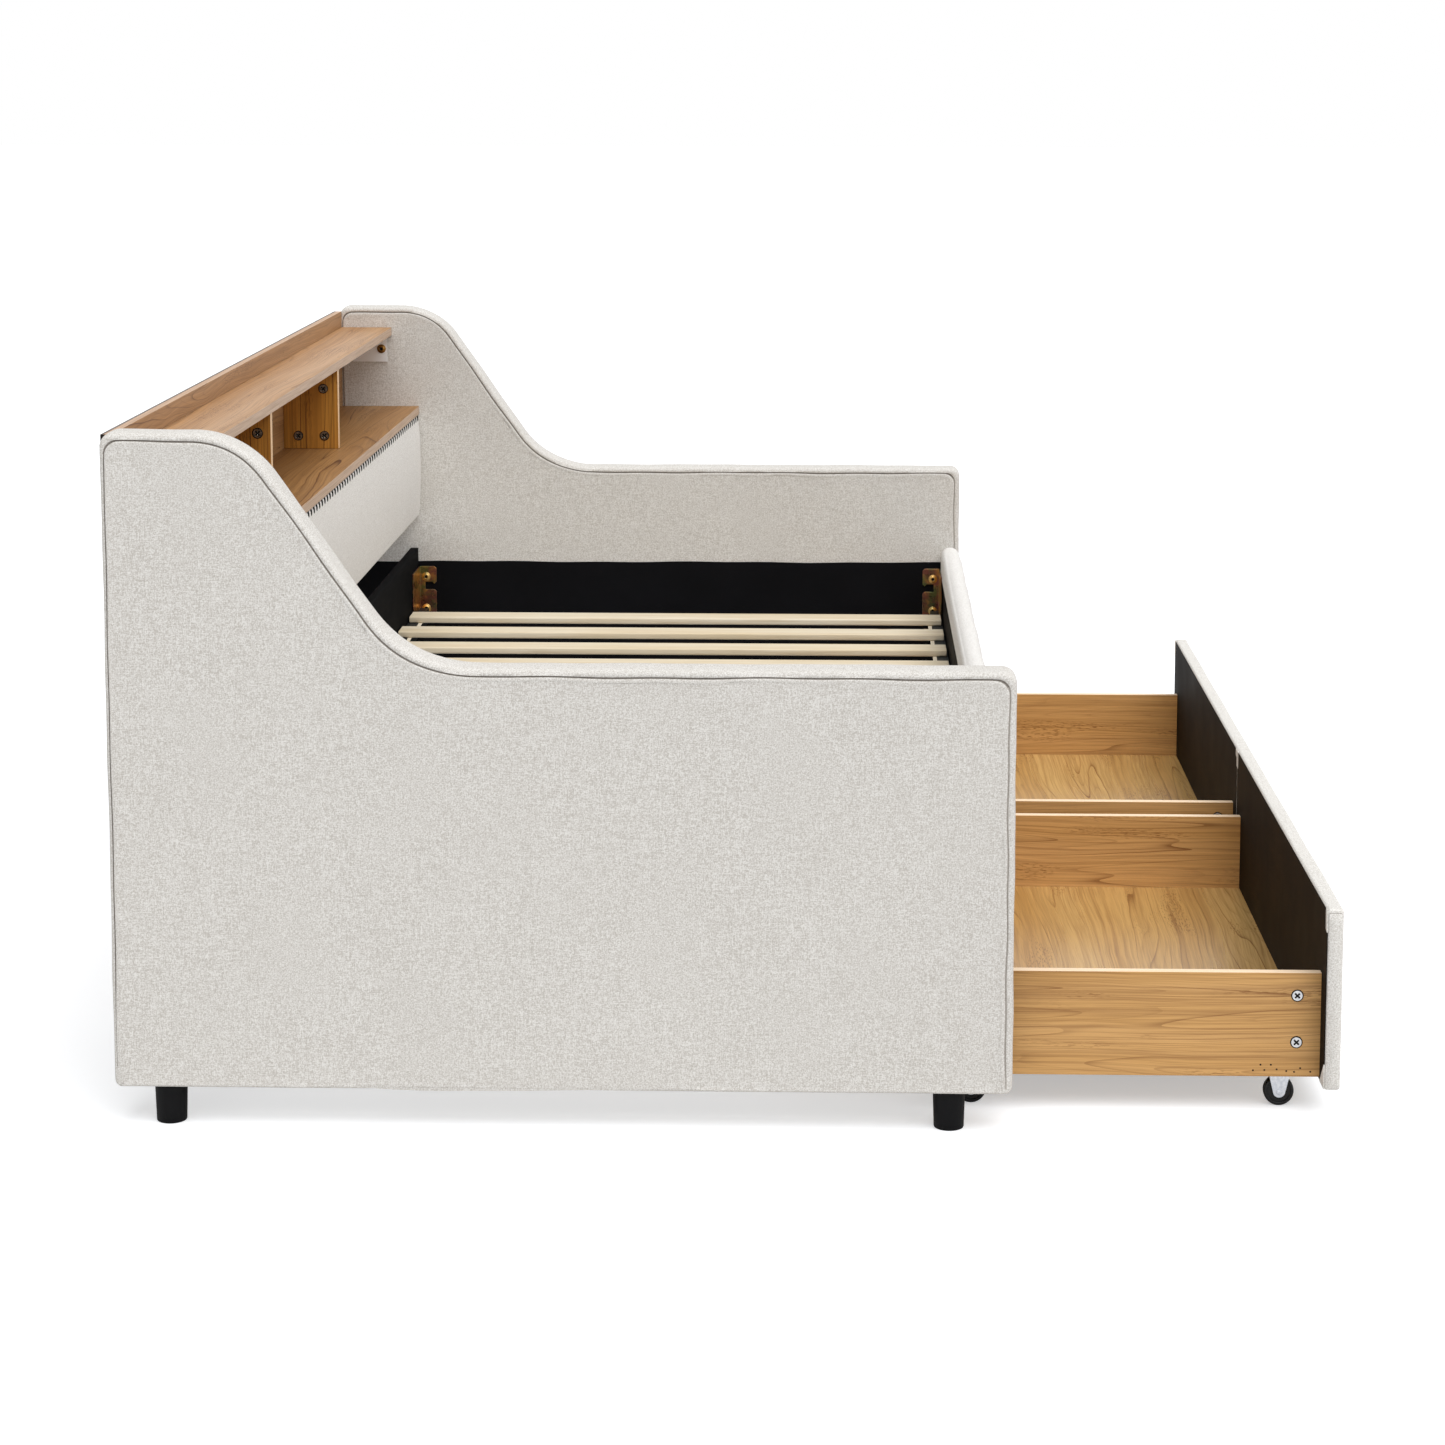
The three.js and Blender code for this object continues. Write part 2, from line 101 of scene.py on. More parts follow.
def pale_floor(half, glow, shade, bounce):
    """The floor: it glows a little, so that it is white but keeps the bed's shadow, and it gives its light back."""
    tone = bpy.data.materials.new("studio_floor")
    tone.use_nodes = True
    tree = tone.node_tree
    tree.nodes.clear()
    grain = wire(tree, "TexNoise", {"Vector": wire(tree, "TexCoord").outputs["Object"], "Scale": 3.0})
    speck = wire(tree, "MapRange", {0: grain.outputs[0], 3: shade * 0.985, 4: shade * 1.015}).outputs[0]
    cool = reckon(tree, "MULTIPLY", speck, 1.05)
    grey = wire(tree, "CombineColor", {0: speck, 1: reckon(tree, "MULTIPLY", speck, 1.02), 2: cool}).outputs[0]
    seen = wire(tree, "AddShader", {
        0: wire(tree, "Emission", {"Color": (1, 1, 1, 1), "Strength": glow}).outputs[0],
        1: wire(tree, "BsdfDiffuse", {"Color": grey}).outputs[0],
    }).outputs[0]
    plain = wire(tree, "BsdfDiffuse", {"Color": (bounce, bounce, bounce, 1)}).outputs[0]
    looked_at = wire(tree, "LightPath").outputs["Is Camera Ray"]
    wire(tree, "OutputMaterial", {
        "Surface": wire(tree, "MixShader", {0: looked_at, 1: plain, 2: seen}).outputs[0],
    })
    ground = bpy.data.meshes.new("studio_floor")
    ground.from_pydata(
        [(-half, -half, 0), (half, -half, 0), (half, half, 0), (-half, half, 0)], [], [(0, 1, 2, 3)]
    )
    ground.materials.append(tone)
    floor = bpy.data.objects.new("studio_floor", ground)
    bpy.context.scene.collection.objects.link(floor)


studio_walls(fill=0.48, seen=1.0)
pale_floor(half=40, glow=0.44, shade=0.74, bounce=0.7)
for lamp_name, strength, width, towards in (
    ("overhead_lamp", 2.5, 60, (-0.40, -0.22, 0.89)), ("front_lamp", 0.3, 90, (-0.25, -0.93, 0.27)),
):
    lamp = bpy.data.lights.new(lamp_name, "SUN")
    lamp.energy, lamp.angle = strength, math.radians(width)
    lamp_stand = bpy.data.objects.new(lamp_name, lamp)
    lamp_stand.rotation_euler = Vector(towards).to_track_quat("Z", "Y").to_euler()
    bpy.context.scene.collection.objects.link(lamp_stand)

# The two end arms: a board frame under thin padding, in a sewn cover of heathered cloth. A strip runs
# over the edges all round, sewn to the two faces in a sunk seam that stops at the underside.
MM = 0.001
COLOUR, NUMBER, VECTOR = "NodeSocketColor", "NodeSocketFloat", "NodeSocketVector"
arm_middle, arm_half = 1010, 30
well_half = arm_middle - arm_half
arm_back, arm_front, arm_top, arm_low, leg_high = 825, -391, 947, 633, 54
corner, foot_corner = 18, 10


def paint(red, green, blue):
    """A colour from its three bytes, as the picture shows it."""
    return tuple(
        (c / 12.92 if c <= 0.04045 else ((c + 0.055) / 1.055) ** 2.4) for c in (red / 255, green / 255, blue / 255)
    ) + (1.0,)


def new_group(name, takes, gives):
    """An empty node group, what its named inputs bring, and the way to feed its named outputs."""
    group = bpy.data.node_groups.new(name, "ShaderNodeTree")
    for label, kind in takes.items():
        group.interface.new_socket(label, in_out="INPUT", socket_type=kind)
    for label, kind in gives.items():
        group.interface.new_socket(label, in_out="OUTPUT", socket_type=kind)
    taken = group.nodes.new("NodeGroupInput").outputs
    given = group.nodes.new("NodeGroupOutput").inputs
    return group, taken, lambda label, value: group.links.new(value, given[label])


def noise(tree, place, scale, detail=2.0, roughness=0.55, shift=(0, 0, 0)):
    """Soft random tone from 0 to 1, stretched by its three scales."""
    spot = wire(tree, "Mapping", {"Vector": place, "Location": shift, "Scale": scale}).outputs[0]
    return wire(tree, "TexNoise", {
        "Vector": spot, "Scale": 1.0, "Detail": detail, "Roughness": roughness,
    }).outputs[0]


def tint(tree, share, first, second):
    """Two colours mixed by a share."""
    return wire(tree, "Mix", {0: share, 6: first, 7: second}, data_type="RGBA").outputs[2]


def spread(tree, value, low, high, to_low=0.0, to_high=1.0):
    """A tone stretched from one range to another, and held there."""
    return wire(tree, "MapRange", {0: value, 1: low, 2: high, 3: to_low, 4: to_high}).outputs[0]


def finish(name, **surface):
    """A material with one Principled shader, given its plain values; with it, its node tree."""
    made = bpy.data.materials.new(name)
    made.use_nodes = True
    shader = made.node_tree.nodes["Principled BSDF"]
    for label, value in surface.items():
        shader.inputs[label.replace("_", " ")].default_value = value
    return made, made.node_tree


def own_place(tree):
    """Each point's place in the piece's own measure."""
    return wire(tree, "TexCoord").outputs["Object"]


def put_on(made, colour, rough=None, relief=None):
    """Join a colour to the shader, and perhaps how rough it is, and a relief with its strength and depth."""
    tree = made.node_tree
    raised = wire(tree, "Bump", relief).outputs[0] if relief else None
    for label, value in (("Base Color", colour), ("Roughness", rough), ("Normal", raised)):
        if value is not None:
            tree.links.new(value, tree.nodes["Principled BSDF"].inputs[label])
    return made


def group_finish(name, group, takes, relief=None, **surface):
    """A material that shows a group's colour and roughness, and its relief with this strength and depth."""
    made, tree = finish(name, **surface)
    given = wire(tree, "Group", takes, node_tree=group).outputs
    raised = {"Strength": relief[0], "Distance": relief[1] * MM, "Height": given["Height"]} if relief else None
    return put_on(made, given["Color"], given.get("Rough"), raised)


def heathered_weave():
    """Threads in both directions of the cloth, each with long and short changes of tone, over a finer weave."""
    group, takes, give = new_group(
        "heathered_weave", {"Pale": COLOUR, "Grey": COLOUR, "Slub": NUMBER}, {"Color": COLOUR, "Height": NUMBER},
    )
    place = own_place(group)
    total = 0.0
    for axis in range(3):
        for along, shift, weight in ((60, 7, 0.3), (320, 5, 0.7)):
            yarn = noise(
                group, place, [along if i == axis else 1250 for i in range(3)], 0.0, 0.5, (axis * shift, 3, 1),
            )
            total = reckon(group, "MULTIPLY_ADD", yarn, weight, total)
    cloudy = noise(group, place, (6, 6, 6), 2.0)
    fleck = reckon(group, "MULTIPLY", reckon(group, "SUBTRACT", total, 1.5), takes["Slub"])
    drift = reckon(group, "MULTIPLY", reckon(group, "SUBTRACT", cloudy, 0.5), 0.15)
    share = reckon(group, "ADD", reckon(group, "ADD", fleck, drift), 0.5, clamp=True)
    give("Color", tint(group, share, takes["Pale"], takes["Grey"]))
    fine = noise(group, place, (1500, 1500, 1500), 1.0)
    give("Height", reckon(group, "ADD", total, reckon(group, "MULTIPLY", fine, 0.8)))
    return group


weave = heathered_weave()


def cloth_finish(name, pale, grey, slub=2.3):
    """Upholstery cloth in two tones of thread, with a soft nap."""
    return group_finish(
        name, weave, {"Pale": paint(*pale), "Grey": paint(*grey), "Slub": slub}, (0.25, 0.6),
        Roughness=0.92, Specular_IOR_Level=0.25, Sheen_Weight=0.05, Sheen_Roughness=0.5,
    )


upholstery = cloth_finish("heathered_upholstery", (229, 227, 223), (191, 186, 179), slub=2.45)
# The two seam cloths are painted shade in the sunk seam's groove: darker where the seam is deep, fainter on the
# front's upright part.
seam_shade_cloth = cloth_finish("seam_painted_shade", (160, 153, 146), (124, 118, 111))
faint_seam_shade = cloth_finish("seam_painted_faint_shade", (186, 180, 173), (152, 146, 139))


def piece_from(shape, name, finishes):
    """A piece from a drawn shape, with its finishes."""
    mesh = bpy.data.meshes.new(name)
    shape.to_mesh(mesh)
    shape.free()
    for one in finishes:
        mesh.materials.append(one)
    piece = bpy.data.objects.new(name, mesh)
    bpy.context.scene.collection.objects.link(piece)
    return piece


def drawn_from(shells, smooth=True):
    """A shape from closed shells, each of points in millimetres and faces, perhaps with each face's finish."""
    shape = bmesh.new()
    for points, faces, *chosen in shells:
        corners = [shape.verts.new(Vector(p) * MM) for p in points]
        for face, number in zip(faces, chosen[0] if chosen else [0] * len(faces)):
            made = shape.faces.new([corners[k] for k in face])
            made.material_index, made.smooth = int(number), smooth
    bmesh.ops.recalc_face_normals(shape, faces=shape.faces)
    return shape


def skin(name, shells, finishes, sharp=40):
    """One piece from closed shells, with an edge kept wherever it turns by more than the sharp angle."""
    piece = piece_from(drawn_from(shells), name, finishes)
    piece.data.set_sharp_from_angle(angle=math.radians(sharp))
    return piece


def belt(low, high, count):
    """The faces between two outlines of a shell that start at these points."""
    return [(low + i, low + (i + 1) % count, high + (i + 1) % count, high + i) for i in range(count)]


def grid(ids):
    """The faces of a net of points."""
    return [
        (ids[i, j], ids[i + 1, j], ids[i + 1, j + 1], ids[i, j + 1])
        for i in range(ids.shape[0] - 1) for j in range(ids.shape[1] - 1)
    ]


def bend(centre, radius, start, stop, steps=7, outward=1):
    """Part of a circle in a flat outline: each point with its outward direction."""
    turn = np.radians(np.linspace(start, stop, steps))
    way = np.column_stack([np.cos(turn), np.sin(turn)])
    return np.hstack([np.array(centre) + radius * way, outward * way])


def arc(centre, radius, start, stop, steps):
    """The points of such a bend, without their directions."""
    return [tuple(p[:2]) for p in bend(centre, radius, start, stop, steps)]


def run_of(line):
    """The length of an outline up to each of its points."""
    return np.concatenate([[0], np.cumsum(np.hypot(*np.diff(line[:, :2], axis=0).T))])


def places_along(line, runs):
    """Points of an outline at these runs from its start, with their outward directions."""
    run = run_of(line)
    found = np.column_stack([np.interp(runs, run, column) for column in line.T])
    found[:, 2:] /= np.hypot(*found[:, 2:].T)[:, None]
    return found


def paced(line, first, last, count):
    """Runs along a side: close together in its two corners, even between them."""
    whole = run_of(line)[-1]
    return np.concatenate([
        np.linspace(0, first, 6)[:-1], np.linspace(first, whole - last, count),
        np.linspace(whole - last, whole, 6)[1:],
    ])


def arm_sides():
    """How far along each point of the top lies, and the arm's four sides, which meet in the middle of its corners."""
    columns, rows = 172, 92
    slope, shoulder, hollow, back_flat = 55, 130, 165, 119
    down_slope, along_slope = math.sin(math.radians(slope)), math.cos(math.radians(slope))
    straight = (arm_top - arm_low - (shoulder + hollow) * (1 - along_slope)) / down_slope
    shoulder_y = arm_back - back_flat
    hollow_y = shoulder_y - (shoulder + hollow) * down_slope - straight * along_slope
    back_top = (arm_back - corner, arm_top - corner)
    front_top = (arm_front + corner, arm_low - corner)
    back_foot = (arm_back - foot_corner, leg_high + foot_corner)
    front_foot = (arm_front + foot_corner, leg_high + foot_corner)
    top = np.vstack([
        bend(back_top, corner, 45, 90),
        bend((shoulder_y, arm_top - shoulder), shoulder, 90, 90 + slope, 40),
        bend((hollow_y, arm_low + hollow), hollow, slope - 90, -90, 40, -1),
        bend(front_top, corner, 90, 135),
    ])
    front = np.vstack([bend(front_top, corner, 135, 180), bend(front_foot, foot_corner, 180, 225)])
    back = np.vstack([bend(back_top, corner, 45, 0), bend(back_foot, foot_corner, 0, -45)])
    foot = np.vstack([bend(back_foot, foot_corner, -45, -90, 12), bend(front_foot, foot_corner, -90, -135, 12)])
    top_bend, foot_bend = corner * math.pi / 4, foot_corner * math.pi / 4
    top = places_along(top, paced(top, top_bend, top_bend, columns))
    share = (top[0, 0] - top[:, 0]) / (top[0, 0] - top[-1, 0])
    foot_y = foot[0, 0] + share * (foot[-1, 0] - foot[0, 0])
    foot = places_along(foot, np.interp(-foot_y, -foot[:, 0], run_of(foot)))
    front = places_along(front, paced(front, top_bend, foot_bend, rows))
    back = places_along(back, paced(back, top_bend, foot_bend, rows))
    return share, top, front, foot, back


def net_over(rim, shares, down):
    """A net of points over the face inside a rim, with the rim's four sides blended into each other."""
    across = len(shares)
    top, front = rim[:across], rim[across - 1:across + down - 1]
    foot = rim[across + down - 2:2 * across + down - 2][::-1]
    back = np.vstack([rim[0], rim[2 * across + down - 3:][::-1]])
    u, v = shares[:, None, None], np.linspace(0, 1, down)[None, :, None]
    return (
        (1 - v) * top[:, None] + v * foot[:, None] + (1 - u) * back[None] + u * front[None]
        - (1 - u) * (1 - v) * top[0] - u * (1 - v) * top[-1] - (1 - u) * v * foot[0] - u * v * foot[-1]
    )


def arm_cover(name, side):
    """The sewn cover of one arm: two faces and the strip over the edges, on one closed mesh."""
    shares, top, front, foot, back = arm_sides()
    across, down = len(top), len(front)
    loop = np.vstack([top, front[1:], foot[::-1][1:], back[::-1][1:-1]])
    count = len(loop)
    # the side that each point is on: top, front, foot or back; the seam is pulled in most on level edges
    kind = np.concatenate([
        np.zeros(across), np.ones(down - 1), np.full(across - 1, 2), np.full(down - 2, 3),
    ])
    place, way = loop[:, :2], loop[:, 2:].copy()
    under, up = np.clip(-way[:, 1], 0, 1), np.clip(way[:, 1], 0, 1)
    pull = np.choose(kind.astype(int), [0.6, 0.65, 0.6, 0.8])
    pull = pull + (1 - pull) * up
    way[:, 1] *= np.where(way[:, 1] < 0, 0.25, 1)
    # the seam wanders a little and lies closer to the edge at the back; the edge is unevenly padded
    run = np.arange(count) * 8.0
    wander = 1 + 0.06 * np.sin(run / 61 + side) + 0.05 * np.sin(run / 23 + 2)
    at_back = np.clip(loop[:, 2], 0, 1) ** 2 * (kind != 2)
    narrow = wander * (1 - 0.4 * at_back)
    plump = 0.35 * np.sin(run / 47 + 1) + 0.25 * np.sin(run / 19 + side)
    seam_end_back, seam_end_front = leg_high + 26, leg_high + 8
    sewn = place[:, 1] > np.where(place[:, 0] > 0, seam_end_back, seam_end_front)
    # seam faces get the darker painted shade; on the front's upright part they get a fainter painted shade
    seam_shade_tone = np.where((kind == 1) & (up < 0.25), 2, 1)
    # half width from the middle, distance in from the outline, and how far the seam is sunk there
    section = [
        (0, 0, 0), (11, 0, 0), (19, 0.3, 0), (23.6, 1.1, 0), (26.6, 2.7, 0), (28.5, 5.2, 0), (29.3, 9.2, 0),
        (29.4, 10.4, 2.0), (29.5, 11.6, 0), (30, 13.6, -0.15), (30, 16.5, 0),
    ]
    points, faces, chosen = [], [], []
    along = run_of(place)

    def rounder(yz, depth, middle, radius):
        """The ring with one corner redrawn as an arc of this radius, tangent to the two sides."""
        reach = corner * math.pi / 4 + max(0, radius - (corner - depth[middle]))
        whole = along[-1] + np.hypot(*(place[0] - place[-1]))
        past = (along - along[middle] + whole / 2) % whole - whole / 2
        near = np.flatnonzero(np.abs(past) < reach)
        near = near[np.argsort(past[near])]
        before, after = (near[0] - 1) % count, (near[-1] + 1) % count
        first, second = loop[before, 2:], loop[after, 2:]
        centre = (yz[before] @ first - radius) * first + (yz[after] @ second - radius) * second
        turn = (past[near] - past[before]) / (past[after] - past[before]) * math.pi / 2
        drawn = yz.copy()
        drawn[near] = centre + radius * (np.cos(turn)[:, None] * first + np.sin(turn)[:, None] * second)
        return drawn

    def ring(sign, half, inset, sunk):
        """One closed line round the arm, at a place of the section on one of its two halves."""
        depth = inset * narrow
        soft = np.where(inset < 5, plump * (1 - under), 0)
        yz = place - way * (depth - soft)[:, None]
        if inset > 5:
            radius = np.interp(inset, [5, 10], [14.5, 20])
            for middle in (0, across - 1):
                yz = rounder(yz, depth, middle, radius)
        x = half - sunk * pull * np.clip((place[:, 1] - leg_high - 10) / 20, 0, 1)
        x = np.minimum(x, arm_half) if sign * side < 0 else x
        start = len(points)
        points.extend(np.column_stack([side * arm_middle + sign * x, yz]))
        return start

    levels = [(-1, *s) for s in section[:0:-1]] + [(1, *s) for s in section]
    starts = [ring(*one) for one in levels]
    for k, (a, b) in enumerate(zip(starts, starts[1:])):
        faces += belt(a, b, count)
        in_seam = levels[k][3] > 1 or levels[k + 1][3] > 1
        chosen += list(np.where(in_seam & sewn & np.roll(sewn, -1), seam_shade_tone, 0))

    # the two faces: flat, and a little slack away from their rims
    for sign, start in ((-1, starts[0]), (1, starts[-1])):
        y, z = np.moveaxis(net_over(np.array(points[start:start + count])[:, 1:], shares, down)[1:-1, 1:-1], 2, 0)
        ids = np.zeros((across, down), int)
        ids[:, 0] = start + np.arange(across)
        ids[-1, :] = start + across - 1 + np.arange(down)
        ids[:, -1] = start + (across + down - 2 + np.arange(across))[::-1]
        ids[0, 1:] = start + (count - np.arange(1, down)) % count
        edge = [np.minimum(np.arange(1, n - 1), np.arange(n - 2, 0, -1)) for n in (across, down)]
        calm = np.clip(np.minimum(edge[0][:, None], edge[1][None]) / 8, 0, 1)
        slack = 0.28 * calm * (1 + np.sin(y / 83 + z / 140 + side) * np.sin(z / 97 - y / 210 + sign))
        slack += 0.12 * calm * (1 + np.sin(y / 31 + 1.7 * np.sin(z / 60)))
        x = side * arm_middle + sign * (arm_half - slack)
        ids[1:-1, 1:-1] = len(points) + np.arange(x.size).reshape(x.shape)
        points.extend(np.column_stack([x.ravel(), y.ravel(), z.ravel()]))
        faces += grid(ids)
    chosen += [0] * (len(faces) - len(chosen))
    return skin(name, [(points, faces, chosen)], [upholstery, seam_shade_cloth, faint_seam_shade], sharp=70)


for name, side in (("left_arm", -1), ("right_arm", 1)):
    cover = arm_cover(name + "_cover", side)
    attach(cover, "bed")
    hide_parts(name)

# Black lining cloth, stapled over the lower part of each arm's inner face, where the mattress hides it.
# Its upper edge is folded under and runs a little unevenly.
lining_back, lining_front, lining_low, lining_top, lining_thick = 818, -358, 66, 446, 0.2


def lining_finish():
    """Thin black cloth, a little uneven in its tone."""
    made, tree = finish("black_lining", Roughness=0.9, Specular_IOR_Level=0.1)
    place = own_place(tree)
    thread = noise(tree, place, (900, 900, 900), 2.0)
    cloud = noise(tree, place, (9, 9, 9), 3.0)
    share = reckon(tree, "ADD", reckon(tree, "MULTIPLY", thread, 0.5), reckon(tree, "MULTIPLY", cloud, 0.5))
    shown = tint(tree, spread(tree, share, 0.35, 0.65), paint(9, 9, 11), paint(16, 16, 19))
    return put_on(made, shown, relief={"Strength": 0.3, "Distance": 0.4 * MM, "Height": thread})


black_lining = lining_finish()


def lining(name, side):
    """A thin sheet on the arm's inner face."""
    inner_face = side * well_half
    ys = np.linspace(lining_back, lining_front, 120)
    tops = lining_top + 0.7 * np.sin(ys / 70) + 0.5 * np.sin(ys / 26 + 2) - 0.002 * (ys - lining_front)
    heights = np.linspace(0, 1, 24)
    points = []
    for x in (inner_face, inner_face - side * lining_thick):
        for y, high in zip(ys, tops):
            points += [(x, y, lining_low + h * (high - lining_low)) for h in heights]
    ids = np.arange(len(ys) * len(heights)).reshape(len(ys), len(heights))
    rim = [*ids[:, 0], *ids[-1, 1:], *ids[-2::-1, -1], *ids[0, -2:0:-1]]
    faces = [face[::-1] for face in grid(ids)] + grid(ids + ids.size)
    faces += [(a, b, b + ids.size, a + ids.size) for a, b in zip(rim, rim[1:] + rim[:1])]
    return skin(name, [(points, faces)], [black_lining])


for name, side in (("left_arm_lining", -1), ("right_arm_lining", 1)):
    cloth = lining(name, side)
    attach(cloth, "bed")

# Four short legs of black turned plastic, a little thinner at the foot. Each is screwed up into the
# underside of an arm, near one of its ends.
leg_top, leg_foot, leg_end = 22, 20.5, 53.7
leg_from_back, leg_from_front = 72, 85


def turned(profile, sides, centre, axis="Z", sign=1):
    """A turned shell: radius and height pairs swung round an axis. A radius may differ from side to side."""
    turn = np.linspace(0, 2 * np.pi, sides, endpoint=False)
    points, faces, rows = [], [], []
    for radius, high in profile:
        if np.any(radius):
            rows.append(range(len(points), len(points) + sides))
            points += [(r * math.cos(t), r * math.sin(t), high) for r, t in zip(np.broadcast_to(radius, sides), turn)]
        else:
            rows.append([len(points)])
            points.append((0, 0, high))
    for low, high in zip(rows, rows[1:]):
        for i in range(sides):
            j = (i + 1) % sides
            if len(low) == 1:
                faces.append((low[0], high[j], high[i]))
            elif len(high) == 1:
                faces.append((low[i], low[j], high[0]))
            else:
                faces.append((low[i], low[j], high[j], high[i]))
    order = {"X": (2, 0, 1), "Y": (1, 2, 0), "Z": (0, 1, 2)}[axis]
    flip = np.ones(3)
    flip["XYZ".index(axis)] = sign
    return np.array(points)[:, order] * flip + np.array(centre), faces


def clouded_tone():
    """Two close tones in soft clouds, a shine that changes with them, and the relief of a fine grain."""
    group, takes, give = new_group(
        "clouded_tone",
        {
            "First": COLOUR, "Second": COLOUR, "Clouds": VECTOR, "Detail": NUMBER, "Grain": VECTOR,
            "Glossy": NUMBER, "Dull": NUMBER,
        },
        {"Color": COLOUR, "Rough": NUMBER, "Height": NUMBER},
    )
    place = own_place(group)
    cloud = noise(group, place, takes["Clouds"], takes["Detail"])
    give("Color", tint(group, cloud, takes["First"], takes["Second"]))
    give("Rough", spread(group, cloud, 0.3, 0.7, takes["Glossy"], takes["Dull"]))
    give("Height", noise(group, place, takes["Grain"], 2.0))
    return group


clouds_on_surface = clouded_tone()


def clouded_finish(name, first, second, clouds, rough, grain=1, relief=None, detail=3.0, **surface):
    """A plain surface in two close tones, a little cloudy in its shine, perhaps with the relief of a fine grain."""
    return group_finish(name, clouds_on_surface, {
        "First": paint(*first), "Second": paint(*second), "Clouds": clouds, "Detail": detail,
        "Grain": (grain, grain, grain), "Glossy": rough[0], "Dull": rough[1],
    }, relief, **surface)


leg_black = clouded_finish(
    "black_leg_plastic", (7, 7, 9), (15, 15, 17), (40, 40, 12), rough=(0.44, 0.6),
    grain=700, relief=(0.15, 0.3), Specular_IOR_Level=0.15,
)
leg_profile = [
    (0, 0.8), (13, 0.8), (14, 0), (leg_foot - 1.6, 0), (leg_foot - 0.5, 0.5), (leg_foot, 1.6),
    (leg_top, leg_end - 3), (leg_top, leg_end), (0, leg_end),
]
for name, side in (("left", -1), ("right", 1)):
    for end, y in (("back", arm_back - leg_from_back), ("front", arm_front + leg_from_front)):
        leg = skin(f"{name}_{end}_leg_turned", [turned(leg_profile, 72, (side * arm_middle, y, 0))], [leg_black])
        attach(leg, "bed")
        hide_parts(f"{name}_{end}_leg")

# Front rail: a board whose cover is pulled over a padded round top and stapled low on the inside,
# where the dark board shows. A dark cleat for the slats is screwed along its inner face.
joint_gap = 0.3
rail_end, rail_under, rail_top = well_half - joint_gap, 303, 479
rail_outer, rail_inner, hem_low, board_sunk = -391, -354.5, 425, 1.5
cleat_top, cleat_high, cleat_wide = 350.7, 28, 20
bracket_reach, bracket_steel = 100, 2.5


def stacked(count, layers):
    """The faces of a closed shell made of outlines in layers: a band between each two, and the two ends."""
    last = (layers - 1) * count
    bands = [face for k in range(0, last, count) for face in belt(k, k + count, count)]
    return bands + [tuple(range(count))[::-1], tuple(range(last, last + count))]


def run_shell(section, stations, shape_at):
    """A closed shell from one closed section, carried along the bed; shape_at fits it at each station."""
    return np.vstack([np.array(shape_at(section, x)) for x in stations]), stacked(len(section), len(stations))


def cushion_stations(low, high, step, soft, turns=7):
    """Stations from end to end, close together where the ends are rounded over a length."""
    near = soft * (1 - np.cos(np.linspace(0, np.pi / 2, turns)))
    middle = np.linspace(low + soft, high - soft, int((high - low - 2 * soft) / step) + 1)
    return np.concatenate([low + near[:-1], middle, (high - near[:-1])[::-1]])


def rounded_off(from_end, length):
    """How far a surface has drawn in at this distance from its end, where it is rounded over a length."""
    return length * (1 - math.sqrt(max(0, 1 - (1 - min(from_end, length) / length) ** 2)))


def plumped(piece, loose, push, reach):
    """Let the cover swell on its padding, as cloth, where it is loose; no point moves further than its reach."""
    mesh, scene, last_step = piece.data, bpy.context.scene, 14
    rest = np.empty(len(mesh.vertices) * 3)
    mesh.vertices.foreach_get("co", rest)
    rest = rest.reshape(-1, 3)
    held = piece.vertex_groups.new(name="held")
    for i, share in enumerate(loose(*(rest / MM).T)):
        held.add([i], 1 - float(share), "REPLACE")
    swell = piece.modifiers.new("swell", "CLOTH")
    swell.settings.vertex_group_mass = "held"
    swell.settings.quality, swell.settings.mass, swell.settings.air_damping = 6, 0.3, 2
    swell.settings.tension_stiffness = swell.settings.compression_stiffness = 30
    swell.settings.shear_stiffness, swell.settings.bending_stiffness = 15, 1.5
    swell.settings.use_pressure, swell.settings.uniform_pressure_force = True, push
    swell.settings.effector_weights.gravity = 0
    for step in range(1, last_step + 1):
        scene.frame_set(step)
    swelled = piece.evaluated_get(bpy.context.evaluated_depsgraph_get()).data
    moved = np.empty(len(mesh.vertices) * 3)
    swelled.vertices.foreach_get("co", moved)
    shift = moved.reshape(-1, 3) - rest
    far = np.linalg.norm(shift, axis=1) / (reach * MM) + 1e-9
    shift *= (np.tanh(far) / far)[:, None]
    piece.modifiers.remove(swell)
    piece.vertex_groups.remove(held)
    scene.frame_set(1)
    mesh.vertices.foreach_set("co", (rest + shift).ravel())
    mesh.update()


def rail_section():
    """The cover's closed section, from the hem on the inside, over the top, and round below."""
    half = (rail_inner - rail_outer) / 2
    centre = (rail_outer + half, rail_top - half)
    inside = rail_inner - 2 * board_sunk
    line = [(inside, hem_low), (rail_inner - 0.8, hem_low), (rail_inner, hem_low + 0.8)]
    line += [(rail_inner, z) for z in np.linspace(hem_low + 6, centre[1], 6)[:-1]]
    line += arc(centre, half, 0, 180, 28)
    line += [(rail_outer, z) for z in np.linspace(centre[1], rail_under + 4, 18)[1:-1]]
    line += arc((rail_outer + 4, rail_under + 4), 4, 180, 270, 6)
    line += [(y, rail_under) for y in np.linspace(rail_outer + 8, inside - 3, 4)]
    line += arc((inside - 2, rail_under + 2), 2, 270, 360, 4)
    line += [(inside, z) for z in np.linspace(rail_under + 12, hem_low - 8, 8)]
    return line


